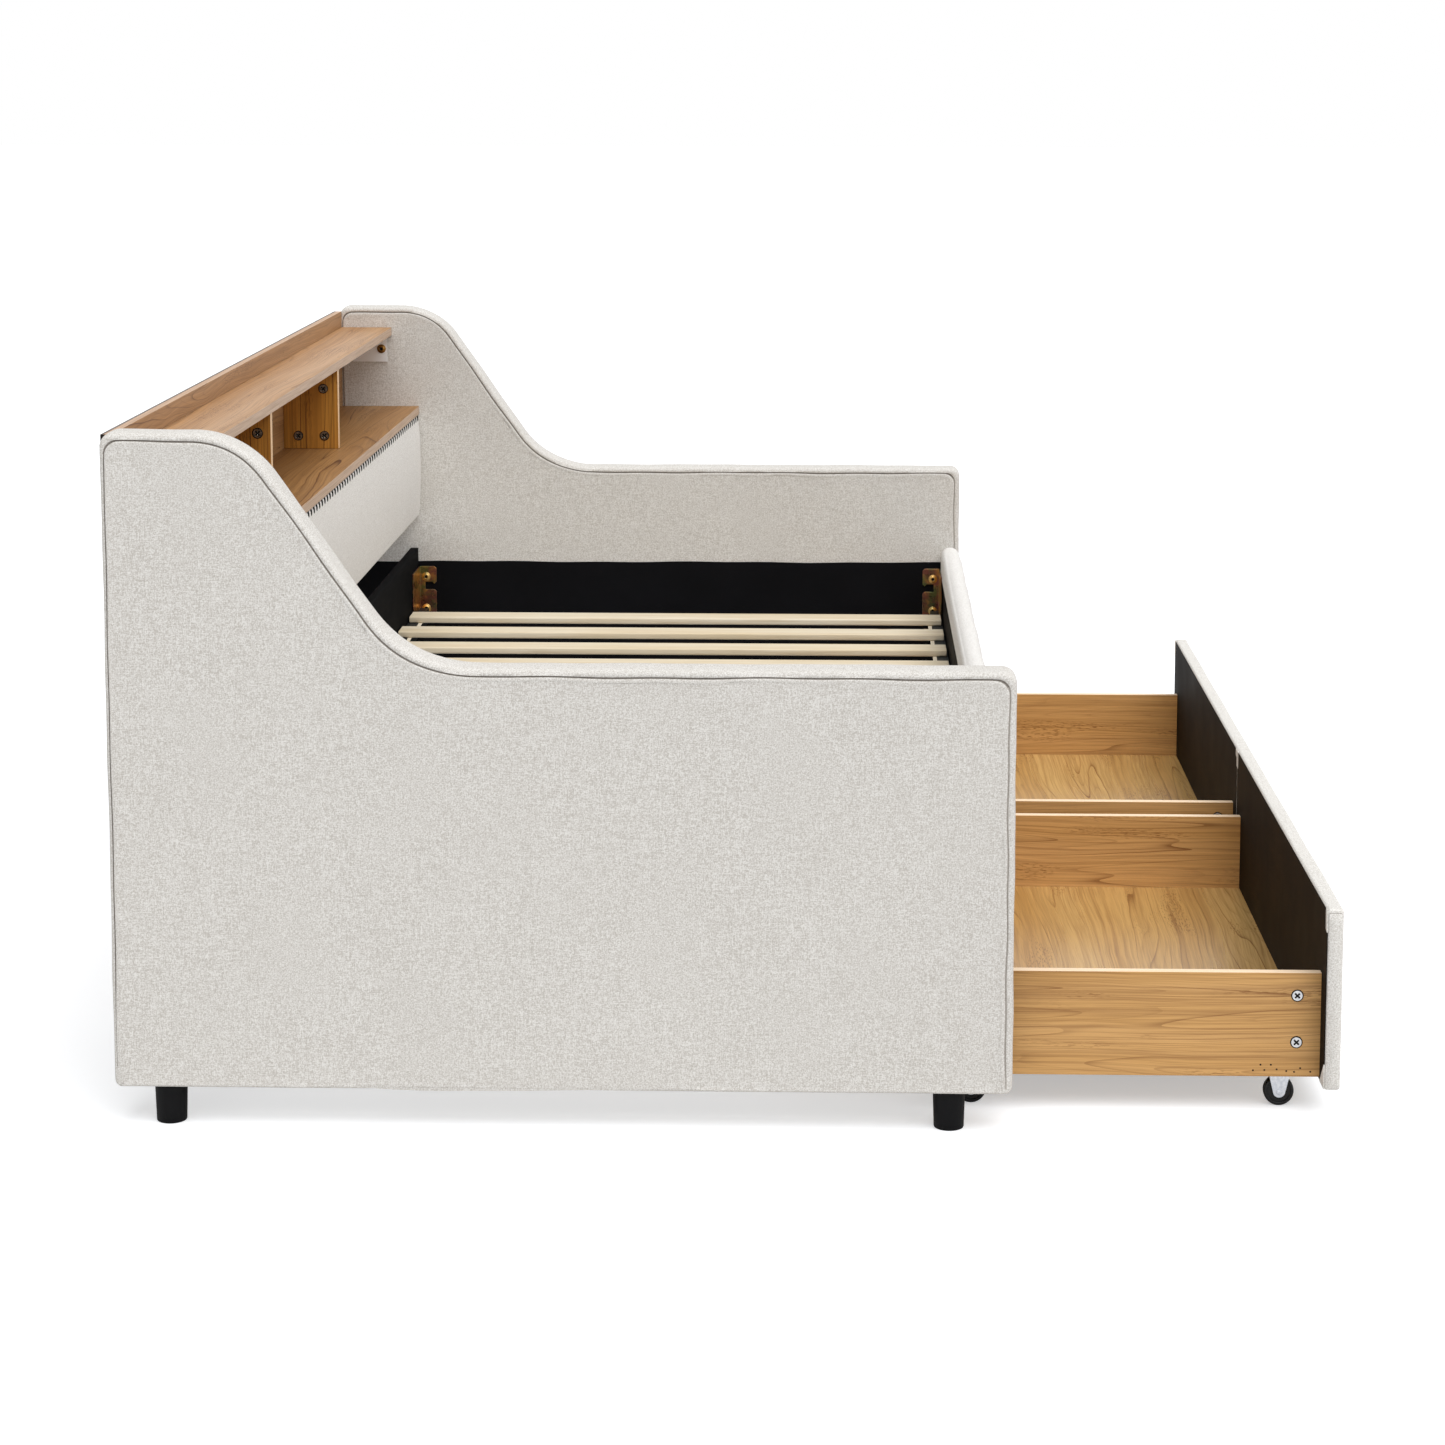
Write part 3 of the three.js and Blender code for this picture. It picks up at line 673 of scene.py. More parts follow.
def rail_cover_at(section, x):
    """The section at one place: rounded off towards the arms, and a little uneven in its padding."""
    from_end = rail_end - abs(x)
    rounding = 9 / 20 * rounded_off(from_end, 20)
    middle, fitted = (rail_inner + rail_outer) / 2, []
    for y, z in section:
        high = (z - rail_under) / (rail_top - rail_under)
        pad = 0.5 * math.sin(x / 57 + 3 * high) + 0.4 * math.sin(x / 23 + 5 * high) * high
        pad *= min(1, from_end / 60) * (1 if y < middle or z > hem_low + 12 else 0)
        squeeze = rounding * (0.35 + 0.65 * high)
        side = (y - middle) / (rail_inner - middle)
        outward = pad if side < 0 else 0
        fitted.append((x, y - side * squeeze + outward, z - high * high * rounding + pad * high * 0.6))
    return fitted


# A paler copy of the upholstery cloth: painted light on the rail's top.
rail_cloth = cloth_finish("rail_upholstery_painted_light", (240, 238, 235), (211, 208, 203))
rail_cover = skin(
    "front_rail_cover",
    [run_shell(rail_section(), cushion_stations(-rail_end, rail_end, 10, 20), rail_cover_at)],
    [rail_cloth], sharp=50,
)
plumped(
    rail_cover, lambda x, y, z: (np.abs(x) < rail_end - 22) & (z > rail_under + 14) & (y < rail_inner - 4), 6, 1.6,
)
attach(rail_cover, "bed")
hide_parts("front_rail")


def stretched(along, fine, slow):
    """Scales for a tone that is fine across the piece and runs on along one axis."""
    return [slow if axis == along else fine for axis in "XYZ"]


def brushed_tone():
    """A surface faintly brushed one way, with slow clouds in its tone and its shine."""
    group, takes, give = new_group(
        "brushed_tone", {"Deep": COLOUR, "Light": COLOUR, "Brush": VECTOR, "Glossy": NUMBER},
        {"Color": COLOUR, "Rough": NUMBER, "Height": NUMBER},
    )
    place = own_place(group)
    brushed = noise(group, place, takes["Brush"], 3.0)
    cloud = noise(group, place, (6, 6, 6), 3.0)
    share = reckon(group, "ADD", reckon(group, "MULTIPLY", brushed, 0.6), reckon(group, "MULTIPLY", cloud, 0.4))
    give("Color", tint(group, spread(group, share, 0.38, 0.62), takes["Deep"], takes["Light"]))
    give("Rough", reckon(group, "ADD", spread(group, cloud, 0.3, 0.7, 0, 0.12), takes["Glossy"]))
    give("Height", brushed)
    return group


brushing = brushed_tone()


def dark_board_finish(name, deep, light, roughness, along="Z", specular=0.2):
    """A dark, dull surface, faintly brushed along one axis."""
    return group_finish(name, brushing, {
        "Deep": paint(*deep), "Light": paint(*light), "Brush": stretched(along, 260, 12), "Glossy": roughness,
    }, (0.1, 0.3), Specular_IOR_Level=specular)


def eased_board(name, low, high, finishes, ease=0.5, banded=()):
    """A board with lightly eased edges; banded gives the finish of the faces turned one way, as in "-Y"."""
    shape = bmesh.new()
    bmesh.ops.create_cube(shape, size=1)
    low, high = Vector(low), Vector(high)
    for corner_point in shape.verts:
        corner_point.co = [((0.5 + c) * (b - a) + a) * MM for c, a, b in zip(corner_point.co, low, high)]
    bmesh.ops.bevel(shape, geom=shape.edges[:], offset=ease * MM, segments=2, profile=0.5, affect="EDGES")
    shape.normal_update()
    for face in shape.faces:
        face.smooth = True
        for turned_to, number in dict(banded).items():
            sign = -1 if turned_to[0] == "-" else 1
            if sign * face.normal["XYZ".index(turned_to[1])] > 0.4:
                face.material_index = number
    piece = piece_from(shape, name, finishes)
    piece.modifiers.new("flat_faces", "WEIGHTED_NORMAL").keep_sharp = True
    return piece


rail_board = eased_board(
    "front_rail_board",
    (-rail_end + 1, rail_inner - board_sunk - 15, rail_under + 0.6),
    (rail_end - 1, rail_inner - board_sunk, hem_low + 20),
    [dark_board_finish("dark_rail_board", (10, 8, 7), (18, 14, 12), 0.6, "X", specular=0.06)],
)
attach(rail_board, "bed")

dark_cleat = dark_board_finish("dark_slat_cleat", (18, 20, 21), (34, 38, 39), 0.5, "X")


def cleat(name, rail_y, inward):
    """The strip that carries the slats: its ends are thinned to pass over the corner brackets."""
    near, far = rail_y, rail_y + inward * cleat_wide
    relieved = rail_y + inward * (bracket_steel + 2 * joint_gap)
    full, reach = rail_end - bracket_reach, well_half - bracket_steel - 2 * joint_gap
    outline = [
        (-full, near), (full, near), (full, relieved), (reach, relieved),
        (reach, far), (-reach, far), (-reach, relieved), (-full, relieved),
    ]
    points = [(x, y, z) for z in (cleat_top - cleat_high, cleat_top) for x, y in outline]
    shape = drawn_from([(points, stacked(len(outline), 2))], smooth=False)
    bmesh.ops.bevel(shape, geom=shape.edges[:], offset=0.8 * MM, segments=2, profile=0.5, affect="EDGES")
    piece = piece_from(shape, name, [dark_cleat])
    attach(piece, "bed")


cleat("front_cleat", rail_inner, 1)

# Back rail: a board under tight black cloth, hooked to the arms like the front rail. The cleat along its
# inner face carries the back ends of the slats.
back_rail_y, back_rail_thick, back_rail_top = 675, 16, 471
black_cloth_board = dark_board_finish("black_cloth_on_board", (5, 5, 6), (12, 12, 14), 0.75, "X", specular=0.06)


def back_rail_at(section, x):
    """The section at one place: eased at its ends, its front face a little slack."""
    from_end = rail_end - abs(x)
    ease = 1.6 / 4 * rounded_off(from_end, 4)
    middle = back_rail_y + back_rail_thick / 2
    fitted = []
    for y, z in section:
        high = (z - rail_under) / (back_rail_top - rail_under)
        slack = 0.22 * math.sin(x / 71 + 2 * high) * (1 if y < middle else 0) * min(1, 4 * high * (1 - high))
        fitted.append((x, y - (y - middle) / back_rail_thick * 2 * ease + slack * 0.5, z - high * ease))
    return fitted


def rounded_section(low, high, radius, step=12, arc_steps=4):
    """A closed upright section with rounded corners, with points along its sides."""
    (y0, z0), (y1, z1) = low, high
    rounds = [
        arc(centre, radius, start, start + 90, arc_steps) for centre, start in (
            ((y1 - radius, z0 + radius), -90), ((y1 - radius, z1 - radius), 0),
            ((y0 + radius, z1 - radius), 90), ((y0 + radius, z0 + radius), 180),
        )
    ]
    line = []
    for one, following in zip(rounds, rounds[1:] + rounds[:1]):
        steps = max(2, int(math.dist(one[-1], following[0]) / step) + 1)
        line += one + [tuple(p) for p in np.linspace(one[-1], following[0], steps)[1:-1]]
    return line


back_rail_section = rounded_section(
    (back_rail_y, rail_under), (back_rail_y + back_rail_thick, back_rail_top), 2,
)
back_rail = skin(
    "back_rail_board",
    [run_shell(back_rail_section, cushion_stations(-rail_end, rail_end, 20, 4, 4), back_rail_at)],
    [black_cloth_board], sharp=50,
)
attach(back_rail, "bed")
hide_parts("back_rail")
cleat("back_cleat", back_rail_y, -1)

# Corner brackets: pressed steel in yellow zinc, bolted to the arms, with two open hooks that take the
# studs of the rails. Each bolt has a round flanged head with a hexagon socket.
bolt_from_rail, bolt_heights = 14.8, (413.5, 350)


def passivated_plating():
    """Passivated plating: its colour drifts from gold to bronze and green; faces turned along X show only the darker
    bronze and green, a painted reflection of the dark bed they face.
    """
    group, takes, give = new_group(
        "passivated_plating", {"Gold": COLOUR, "Bronze": COLOUR, "Green": COLOUR, "Gold_Facing": NUMBER},
        {"Color": COLOUR, "Rough": NUMBER, "Height": NUMBER},
    )
    place = own_place(group)
    cloud = noise(group, place, (34, 34, 34), 4.0, 0.6)
    patch = noise(group, place, (75, 75, 75), 3.0, 0.6, (3, 5, 7))
    # faces turned along X: bronze and green as a painted reflection of the dark bed
    painted_dark_reflection = tint(group, spread(group, cloud, 0.42, 0.6), takes["Bronze"], takes["Green"])
    shown = tint(group, takes["Gold_Facing"], painted_dark_reflection, takes["Gold"])
    give("Color", tint(group, spread(group, patch, 0.5, 0.68, 0, 0.5), shown, takes["Gold"]))
    give("Rough", spread(group, patch, 0.3, 0.7, 0.24, 0.4))
    give("Height", cloud)
    return group


plating = passivated_plating()


def yellow_zinc_finish(name, gold, bronze, green):
    """Yellow zinc or brass, with the soft edges of pressed steel, and a painted dark reflection on faces turned along
    X.
    """
    made, tree = finish(name, Metallic=1.0)
    turned_to = wire(tree, "SeparateXYZ", {0: wire(tree, "NewGeometry").outputs["Normal"]}).outputs
    given = wire(tree, "Group", {
        "Gold": paint(*gold), "Bronze": paint(*bronze), "Green": paint(*green),
        # gold on faces turned along Y; elsewhere the darker painted reflection
        "Gold_Facing": spread(tree, reckon(tree, "ABSOLUTE", turned_to["Y"]), 0.3, 0.8),
    }, node_tree=plating).outputs
    pressed_edge = wire(tree, "Bevel", {"Radius": 1.4 * MM}, samples=8).outputs[0]
    return put_on(made, given["Color"], given["Rough"], {
        "Strength": 0.12, "Distance": 0.4 * MM, "Height": given["Height"], "Normal": pressed_edge,
    })


yellow_zinc = yellow_zinc_finish("yellow_zinc_plate", (206, 152, 78), (140, 92, 82), (104, 112, 74))
bolt_gold = yellow_zinc_finish("yellow_zinc_bolt", (238, 204, 136), (204, 164, 100), (168, 150, 96))
# Painted shade for the bottoms of recesses and the ring round the cam discs.
socket_shade = dark_board_finish("painted_recess_shade", (14, 13, 12), (26, 23, 20), 0.6)


def star_radius(angle, arm=4.7, half=1.25):
    """How far a slanted cross recess reaches at an angle."""
    folded = abs(angle % (math.pi / 2) - math.pi / 4)
    return arm / math.cos(folded) if math.tan(folded) <= half / arm else half / math.sin(folded)


def hexagon_radius(angle, flat=3.0):
    """How far a hexagon socket reaches at an angle."""
    folded = (angle + math.pi / 6) % (math.pi / 3) - math.pi / 6
    return flat / math.cos(folded)


def recessed_head(centre, axis, sign, profile, recess, depth, dark_from=math.inf):
    """A round head turned by its profile, from its shaped recess outwards; its recess, and its rim from a radius, are
    painted dark as shade.
    """
    sides, top = 96, profile[0][1]
    reach = np.array([recess(t) for t in np.linspace(0, 2 * np.pi, sides, endpoint=False)])
    rows = [(0, top - depth), (reach * 0.86, top - depth), (reach, top - 0.1), (reach + 0.22, top), *profile]
    dark = [k < 2 or np.min(radius) >= dark_from for k, (radius, high) in enumerate(rows)]
    points, faces = turned([*rows, (0, profile[-1][1])], sides, centre, axis, sign)
    return points, faces, np.repeat([*dark[:-1], False], sides)


bolt_profile = [
    (3.8, 4.2), (5.0, 4.0), (5.9, 3.3), (6.2, 2.0), (6.3, 1.4), (8.2, 1.1), (8.6, 0.7), (8.6, 0.1),
    (3.9, 0.1), (3.9, -6),
]


def socket_bolt(name, place, side, metal):
    """A bolt's head on the inner side of an arm, with its hexagon socket painted dark as shade."""
    head = skin(
        name, [recessed_head(place, "X", -side, bolt_profile, hexagon_radius, 2.4)], [metal, socket_shade], sharp=32,
    )
    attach(head, "bed")


for name, side in (("left", -1), ("right", 1)):
    for end, rail_y, inward in (("back", back_rail_y, -1), ("front", rail_inner, 1)):
        node = f"{name}_{end}_corner_bracket"
        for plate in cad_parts[node].material_slots:
            plate.material = yellow_zinc
        face_x = side * (rail_end - bracket_steel)
        for level_name, high in zip(("upper", "lower"), bolt_heights):
            place = (face_x, rail_y + inward * bolt_from_rail, high)
            socket_bolt(f"{node}_{level_name}_bolt", place, side, bolt_gold)

# Twelve planed pine slats with rounded edges, laid across the cleats. Two pale ribbons, stapled
# under them near their ends, keep them evenly apart.
slat_top, slat_thick, slat_wide, slat_margin, slat_count = 363, 12, 58, 112, 12
slat_back, slat_front = 671.8, -351.3
first_slat = slat_margin - well_half
slat_pitch = (2 * well_half - 2 * slat_margin - slat_wide) / (slat_count - 1)


def pine_finish(name, along, pale, yellow, line, knot):
    """Planed pine: faint growth lines along the piece, a little uneven colour and a few small knots."""
    made, tree = finish(name, Specular_IOR_Level=0.3)
    place = own_place(tree)
    lines = noise(tree, place, stretched(along, 330, 7), 3.0, 0.6)
    cloud = noise(tree, place, stretched(along, 34, 2.2), 3.0, 0.6)
    base = tint(tree, spread(tree, cloud, 0.35, 0.65), paint(*pale), paint(*yellow))
    shown = tint(tree, spread(tree, lines, 0.5, 0.72, 0, 0.55), base, paint(*line))
    around_knots = wire(tree, "Mapping", {"Vector": place, "Scale": stretched(along, 13, 3.1)}).outputs[0]
    knots = wire(tree, "TexVoronoi", {"Vector": around_knots, "Scale": 1.0}).outputs["Distance"]
    return put_on(
        made, tint(tree, spread(tree, knots, 0.03, 0.07, 0.75, 0), shown, paint(*knot)),
        spread(tree, lines, 0.3, 0.7, 0.5, 0.68), {"Strength": 0.25, "Distance": 0.3 * MM, "Height": lines},
    )


pine_slat = pine_finish(
    "pine_across_bed", "Y", (226, 215, 193), (216, 199, 168), line=(190, 166, 128), knot=(140, 96, 58),
)


def slat(name, left):
    """One batten: rounded long edges, ends cut square and just eased."""
    section = rounded_section((left, slat_top - slat_thick), (left + slat_wide, slat_top), 3, 10, 6)
    stations = np.concatenate([
        [slat_front, slat_front + 0.6], np.linspace(slat_front + 30, slat_back - 30, 24), [slat_back - 0.6, slat_back],
    ])
    points = []
    for y in stations:
        ease = 0.6 if y in (slat_front, slat_back) else 0
        for x, z in section:
            towards = (left + slat_wide / 2 - x, slat_top - slat_thick / 2 - z)
            points.append((x + math.copysign(ease, towards[0]), y, z + math.copysign(ease, towards[1])))
    return skin(name, [(points, stacked(len(section), len(stations)))], [pine_slat])


for i in range(slat_count):
    node = f"slat_{i + 1:02d}"
    batten = slat(node + "_batten", first_slat + i * slat_pitch)
    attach(batten, "bed")
    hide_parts(node)

ribbon_wide, ribbon_thick = 7, 0.5
ribbon_cloth = cloth_finish("slat_ribbon", (236, 226, 206), (214, 200, 176), slub=2.0)
bright_staple = clouded_finish(
    "bright_staple", (196, 196, 200), (150, 148, 146), (400, 400, 400), rough=(0.3, 0.5), detail=2.0, Metallic=1.0,
)


def ribbon(name, y):
    """A flat ribbon under the slats: it dips a little between them."""
    under = slat_top - slat_thick
    last_edge = first_slat + (slat_count - 1) * slat_pitch + slat_wide
    xs = np.linspace(first_slat + 6, last_edge - 6, 12 * slat_count + 1)
    points = []
    for x in xs:
        place = (x - first_slat) % slat_pitch
        gap = max(0, min(1, (place - slat_wide) / (slat_pitch - slat_wide))) if place > slat_wide else 0
        sag = 1.6 * math.sin(math.pi * gap)
        for dy, dz in ((0, 0), (ribbon_wide, 0), (ribbon_wide, -ribbon_thick), (0, -ribbon_thick)):
            points.append((x, y + dy, under - 0.05 - sag + dz))
    return skin(name, [(points, stacked(4, len(xs)))], [ribbon_cloth])


def staples(name, y):
    """Two wire staples through the ribbon into each slat."""
    shells, under = [], slat_top - slat_thick
    for i in range(slat_count):
        for dx in (14, slat_wide - 14):
            low = np.array((first_slat + i * slat_pitch + dx, y - 0.5, under - ribbon_thick - 0.75))
            high = low + (0.9, ribbon_wide + 1, 0.7)
            corners = [(a, b, c) for a in (low[0], high[0]) for b in (low[1], high[1]) for c in (low[2], high[2])]
            faces = [(0, 1, 3, 2), (4, 6, 7, 5), (0, 4, 5, 1), (2, 3, 7, 6), (0, 2, 6, 4), (1, 5, 7, 3)]
            shells.append((corners, faces))
    return skin(name, shells, [bright_staple])


for name, y in (("front", rail_inner + cleat_wide + 1.2), ("back", back_rail_y - cleat_wide - 1.2 - ribbon_wide)):
    for piece in (ribbon(f"{name}_slat_ribbon", y), staples(f"{name}_ribbon_staples", y)):
        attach(piece, "bed")

# Bookshelf: a board behind, two shelves and two dividers, of particle board in printed oak with a thin
# band ironed on the edges that show. Cam locks hold the dividers to the shelves.
board_thick, rear_thick, rear_top, rear_low, rear_back = 16, 15, 938, 535, 836
shelf_back = rear_back - rear_thick - joint_gap
shelf_top, shelf_deep, low_shelf_top, low_shelf_deep = 907, 102, 752, 154
divider_thick, divider_sunk = 15, 1.5


def oak_print_group():
    """Printed oak: rings that end in a dark line, some of them strong, over streaks, with patches of short pores."""
    group, takes, give = new_group(
        "oak_print",
        {"Grain": VECTOR, "Pale": COLOUR, "Warm": COLOUR, "Dark": COLOUR, "Sway": NUMBER, "Lines": NUMBER},
        {"Color": COLOUR, "Height": NUMBER, "Tone": NUMBER},
    )
    grain = takes["Grain"]
    part = wire(group, "SeparateXYZ", {0: grain}).outputs
    slow = reckon(group, "SUBTRACT", noise(group, grain, (1.7, 5, 5), 1.0), 0.5)
    quick = reckon(group, "SUBTRACT", noise(group, grain, (9, 20, 18), 1.0, 0.5, (4, 1, 6)), 0.5)
    sway = reckon(group, "MULTIPLY", reckon(group, "MULTIPLY_ADD", quick, 0.1, slow), takes["Sway"])
    board = wire(
        group, "CombineXYZ", {0: part["X"], 1: reckon(group, "ADD", sway, part["Y"]), 2: part["Z"]}
    ).outputs[0]
    broad = noise(group, board, (0.8, 13, 5), 2.0, 0.5, (8, 1, 3))
    growth = reckon(group, "MULTIPLY", noise(group, board, (0.5, 12, 4), 1.0, 0.35, (3, 7, 5)), 34.0)
    late = spread(group, reckon(group, "FRACT", growth), 0.3, 0.96)
    own = wire(group, "TexWhiteNoise", {"W": reckon(group, "FLOOR", growth)}, noise_dimensions="1D").outputs["Value"]
    strength = reckon(group, "MULTIPLY_ADD", reckon(group, "POWER", own, 3.0), 0.72, 0.16)
    broken = spread(group, noise(group, board, (3.0, 30, 8), 2.0, 0.5, (9, 2, 7)), 0.35, 0.58, 0.25, 1.0)
    rings = reckon(group, "MULTIPLY", reckon(group, "POWER", late, 6.0), strength)
    lines = reckon(group, "MULTIPLY", reckon(group, "MULTIPLY", rings, broken), takes["Lines"], clamp=True)
    streak = noise(group, board, (1.6, 150, 9), 2.0, 0.6, (1, 4, 2))
    fibre = noise(group, board, (9, 420, 40), 2.0, 0.6)
    patch = spread(group, noise(group, board, (4.0, 18, 6), 1.0, 0.5, (6, 6, 1)), 0.57, 0.66)
    pore = noise(group, board, (80, 560, 60), 1.0, 0.5, (2, 2, 2))
    pores = reckon(group, "MULTIPLY", spread(group, pore, 0.56, 0.63), patch)
    shown = tint(group, spread(group, broad, 0.3, 0.7), takes["Pale"], takes["Warm"])
    for share in (
        spread(group, streak, 0.42, 0.7, 0, 0.36), lines,
        reckon(group, "MULTIPLY", pores, 0.65), spread(group, fibre, 0.46, 0.7, 0, 0.3),
    ):
        shown = tint(group, share, shown, takes["Dark"])
    give("Color", shown)
    give("Height", reckon(group, "SUBTRACT", fibre, pores))
    give("Tone", broad)
    return group


oak_group = oak_print_group()


def oak_finish(
    name, along, across, pale, warm, dark, sway=0.05, lines=1.3, fine=1.0, shift=(0, 0, 0), shine=0.42, specular=0.3,
):
    """Printed oak on one board: its grain runs along one axis, and its bands lie across another. Each board's own
    colours make it lighter or darker as it stands in light or shade: painted light and shade on one printed oak.
    """
    made, tree = finish(name, Specular_IOR_Level=specular)
    part = wire(tree, "SeparateXYZ", {0: own_place(tree)}).outputs
    depth = (set("XYZ") - {along, across}).pop()
    turned_grain = wire(tree, "CombineXYZ", {0: part[along], 1: part[across], 2: part[depth]}).outputs[0]
    grain = wire(
        tree, "VectorMath", {0: turned_grain, 1: (1, fine, fine), 2: [c * MM for c in shift]},
        operation="MULTIPLY_ADD",
    ).outputs[0]
    oak = wire(tree, "Group", {
        "Grain": grain, "Pale": paint(*pale), "Warm": paint(*warm), "Dark": paint(*dark),
        "Sway": sway, "Lines": lines,
    }, node_tree=oak_group).outputs
    return put_on(
        made, oak["Color"], spread(tree, oak["Tone"], 0.3, 0.7, shine - 0.04, shine + 0.06),
        {"Strength": 0.08, "Distance": 0.2 * MM, "Height": oak["Height"]},
    )


def edge_band_print():
    """The edge band: plain printed oak with fine lines along the edge."""
    group, takes, give = new_group(
        "edge_band_print", {"Pale": COLOUR, "Deep": COLOUR, "Lines": VECTOR}, {"Color": COLOUR, "Rough": NUMBER},
    )
    lines = noise(group, own_place(group), takes["Lines"], 3.0, 0.6)
    give("Color", tint(group, spread(group, lines, 0.38, 0.66), takes["Pale"], takes["Deep"]))
    give("Rough", spread(group, lines, 0.3, 0.7, 0.4, 0.5))
    return group


edge_band = edge_band_print()


def band_print(along, pale, deep):
    """What the printed edge band takes, with its lines along one axis."""
    return {"Pale": paint(*pale), "Deep": paint(*deep), "Lines": stretched(along, 520, 8)}


def band_finish(name, along, pale, deep):
    """A board's banded edge."""
    return group_finish(name, edge_band, band_print(along, pale, deep), Specular_IOR_Level=0.3)


# Each board below has its own copy of the printed oak, lighter or darker for the light where it stands: painted light
# and shade.
shelf_oak = oak_finish(
    "oak_top_shelf", "X", "Y", (193, 151, 107), (173, 130, 86), (96, 60, 32), sway=0.09, lines=1.6,
    fine=1.7, shift=(300, -690, 20), specular=0.2,
)
low_shelf_oak = oak_finish(
    "oak_lower_shelf", "X", "Y", (176, 134, 86), (154, 111, 64), (84, 50, 24), sway=0.12, lines=1.8,
    fine=1.5, shift=(-500, -760, 26), specular=0.2,
)
rear_oak = oak_finish(
    "oak_rear_board", "X", "Z", (192, 150, 105), (170, 126, 81), (92, 56, 26), sway=0.09, lines=1.6,
    fine=1.5, shift=(100, -860, 0),
)
divider_oak = oak_finish(
    "oak_divider", "Z", "Y", (207, 147, 65), (175, 116, 44), (76, 40, 12), sway=0.02, lines=3.2, fine=1.8,
    shift=(0, -700, 30),
)
# The shelf band's pale, greyish pink is partly its paler print and partly a painted sheen from the light it faces.
shelf_band = band_finish("oak_shelf_band_painted_sheen", "X", (204, 176, 152), (178, 148, 122))
divider_band = band_finish("oak_divider_band", "Z", (240, 206, 164), (222, 182, 136))


def top_edge_finish(dark_from):
    """The rear board's top edge: banded like the shelves' oak, and dark brown along its rearmost part."""
    made, tree = finish("oak_rear_top_band", Specular_IOR_Level=0.3, Roughness=0.42)
    printed = wire(tree, "Group", band_print("X", (196, 160, 126), (168, 130, 96)), node_tree=edge_band).outputs[0]
    depth = wire(tree, "SeparateXYZ", {0: own_place(tree)}).outputs["Y"]
    behind = reckon(tree, "GREATER_THAN", depth, dark_from * MM)
    return put_on(made, tint(tree, behind, printed, paint(70, 52, 40)))


# The rear board's two ends are plain dark brown.
dark_end = dark_board_finish("dark_board_end", (24, 17, 13), (34, 25, 20), 0.7, "Z")


def divider_middle(number):
    """The two dividers part the shelf into three equal boxes."""
    return (2 * number / 3 - 1) * well_half


boards = {
    "rear_board": (
        (-rail_end - 1.2, rear_back - rear_thick, rear_low), (rail_end + 1.2, rear_back, rear_top),
        [rear_oak, dark_end, top_edge_finish(rear_back - 4.5)], {"-X": 1, "+X": 1, "+Z": 2},
    ),
    "top_shelf": (
        (-rail_end, arm_back - shelf_deep, shelf_top - board_thick), (rail_end, shelf_back, shelf_top),
        [shelf_oak, shelf_band], {"-Y": 1},
    ),
    "lower_shelf": (
        (-rail_end, arm_back - low_shelf_deep, low_shelf_top - board_thick),
        (rail_end, shelf_back, low_shelf_top),
        [low_shelf_oak, shelf_band], {"-Y": 1},
    ),
}
for number in (1, 2):
    middle = divider_middle(number)
    boards[f"shelf_divider_{number}"] = (
        (middle - divider_thick / 2, arm_back - shelf_deep + divider_sunk, low_shelf_top + joint_gap),
        (middle + divider_thick / 2, shelf_back, shelf_top - board_thick - joint_gap),
        [divider_oak, divider_band], {"-Y": 1},
    )
for node, (low, high, finishes, banded) in boards.items():
    board = eased_board(node + "_board", low, high, finishes, 0.5, banded)
    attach(board, "bed")
    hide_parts(node)


def cloudy_plating():
    """Zinc plating, a little cloudy."""
    group, takes, give = new_group(
        "cloudy_plating", {"Bright": COLOUR, "Dull": COLOUR, "Glossy": NUMBER},
        {"Color": COLOUR, "Rough": NUMBER, "Height": NUMBER},
    )
    cloud = noise(group, own_place(group), (240, 240, 240), 4.0, 0.6)
    give("Color", tint(group, spread(group, cloud, 0.35, 0.65), takes["Bright"], takes["Dull"]))
    give("Rough", reckon(group, "ADD", spread(group, cloud, 0.3, 0.7, 0, 0.15), takes["Glossy"]))
    give("Height", cloud)
    return group


zinc_plating = cloudy_plating()


def zinc_finish(name, bright, dull, roughness):
    """Bright or dull zinc on steel."""
    takes = {"Bright": paint(*bright), "Dull": paint(*dull), "Glossy": roughness}
    return group_finish(name, zinc_plating, takes, (0.1, 0.2), Metallic=1.0)


# The divider cams' zinc is a darker copy of the drawer cams' bright zinc: painted shade under the top shelf.
zinc_painted_shade = zinc_finish("zinc_painted_shade", (176, 170, 160), (84, 78, 72), 0.25)
cam_profile = [(6.6, 1.2), (7.0, 1.15), (7.15, 0.9), (7.2, 0.15), (7.9, 0.15), (8.1, 0.5), (8.5, 0.4), (8.6, -1.5)]


def cam_locks(name, places, axis, sign, metal, body):
    """Cam locks let into a board: a turned disc with a cross recess inside a raised rim; the recess and the ring round
    the disc are painted dark as shade.
    """
    shells = [recessed_head(place, axis, sign, cam_profile, star_radius, 1.1, dark_from=7.1) for place in places]
    locks = skin(name, shells, [metal, socket_shade], sharp=30)
    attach(locks, body)


lower_cams = ((795, 775), (749, 775))
for number, spots in ((1, (*lower_cams, (745, 860))), (2, (*lower_cams, (750, 858)))):
    face_x = divider_middle(number) - divider_thick / 2
    places = [(face_x, y, z) for y, z in spots]
    cam_locks(f"shelf_divider_{number}_cam_locks", places, "X", -1, zinc_painted_shade, "bed")

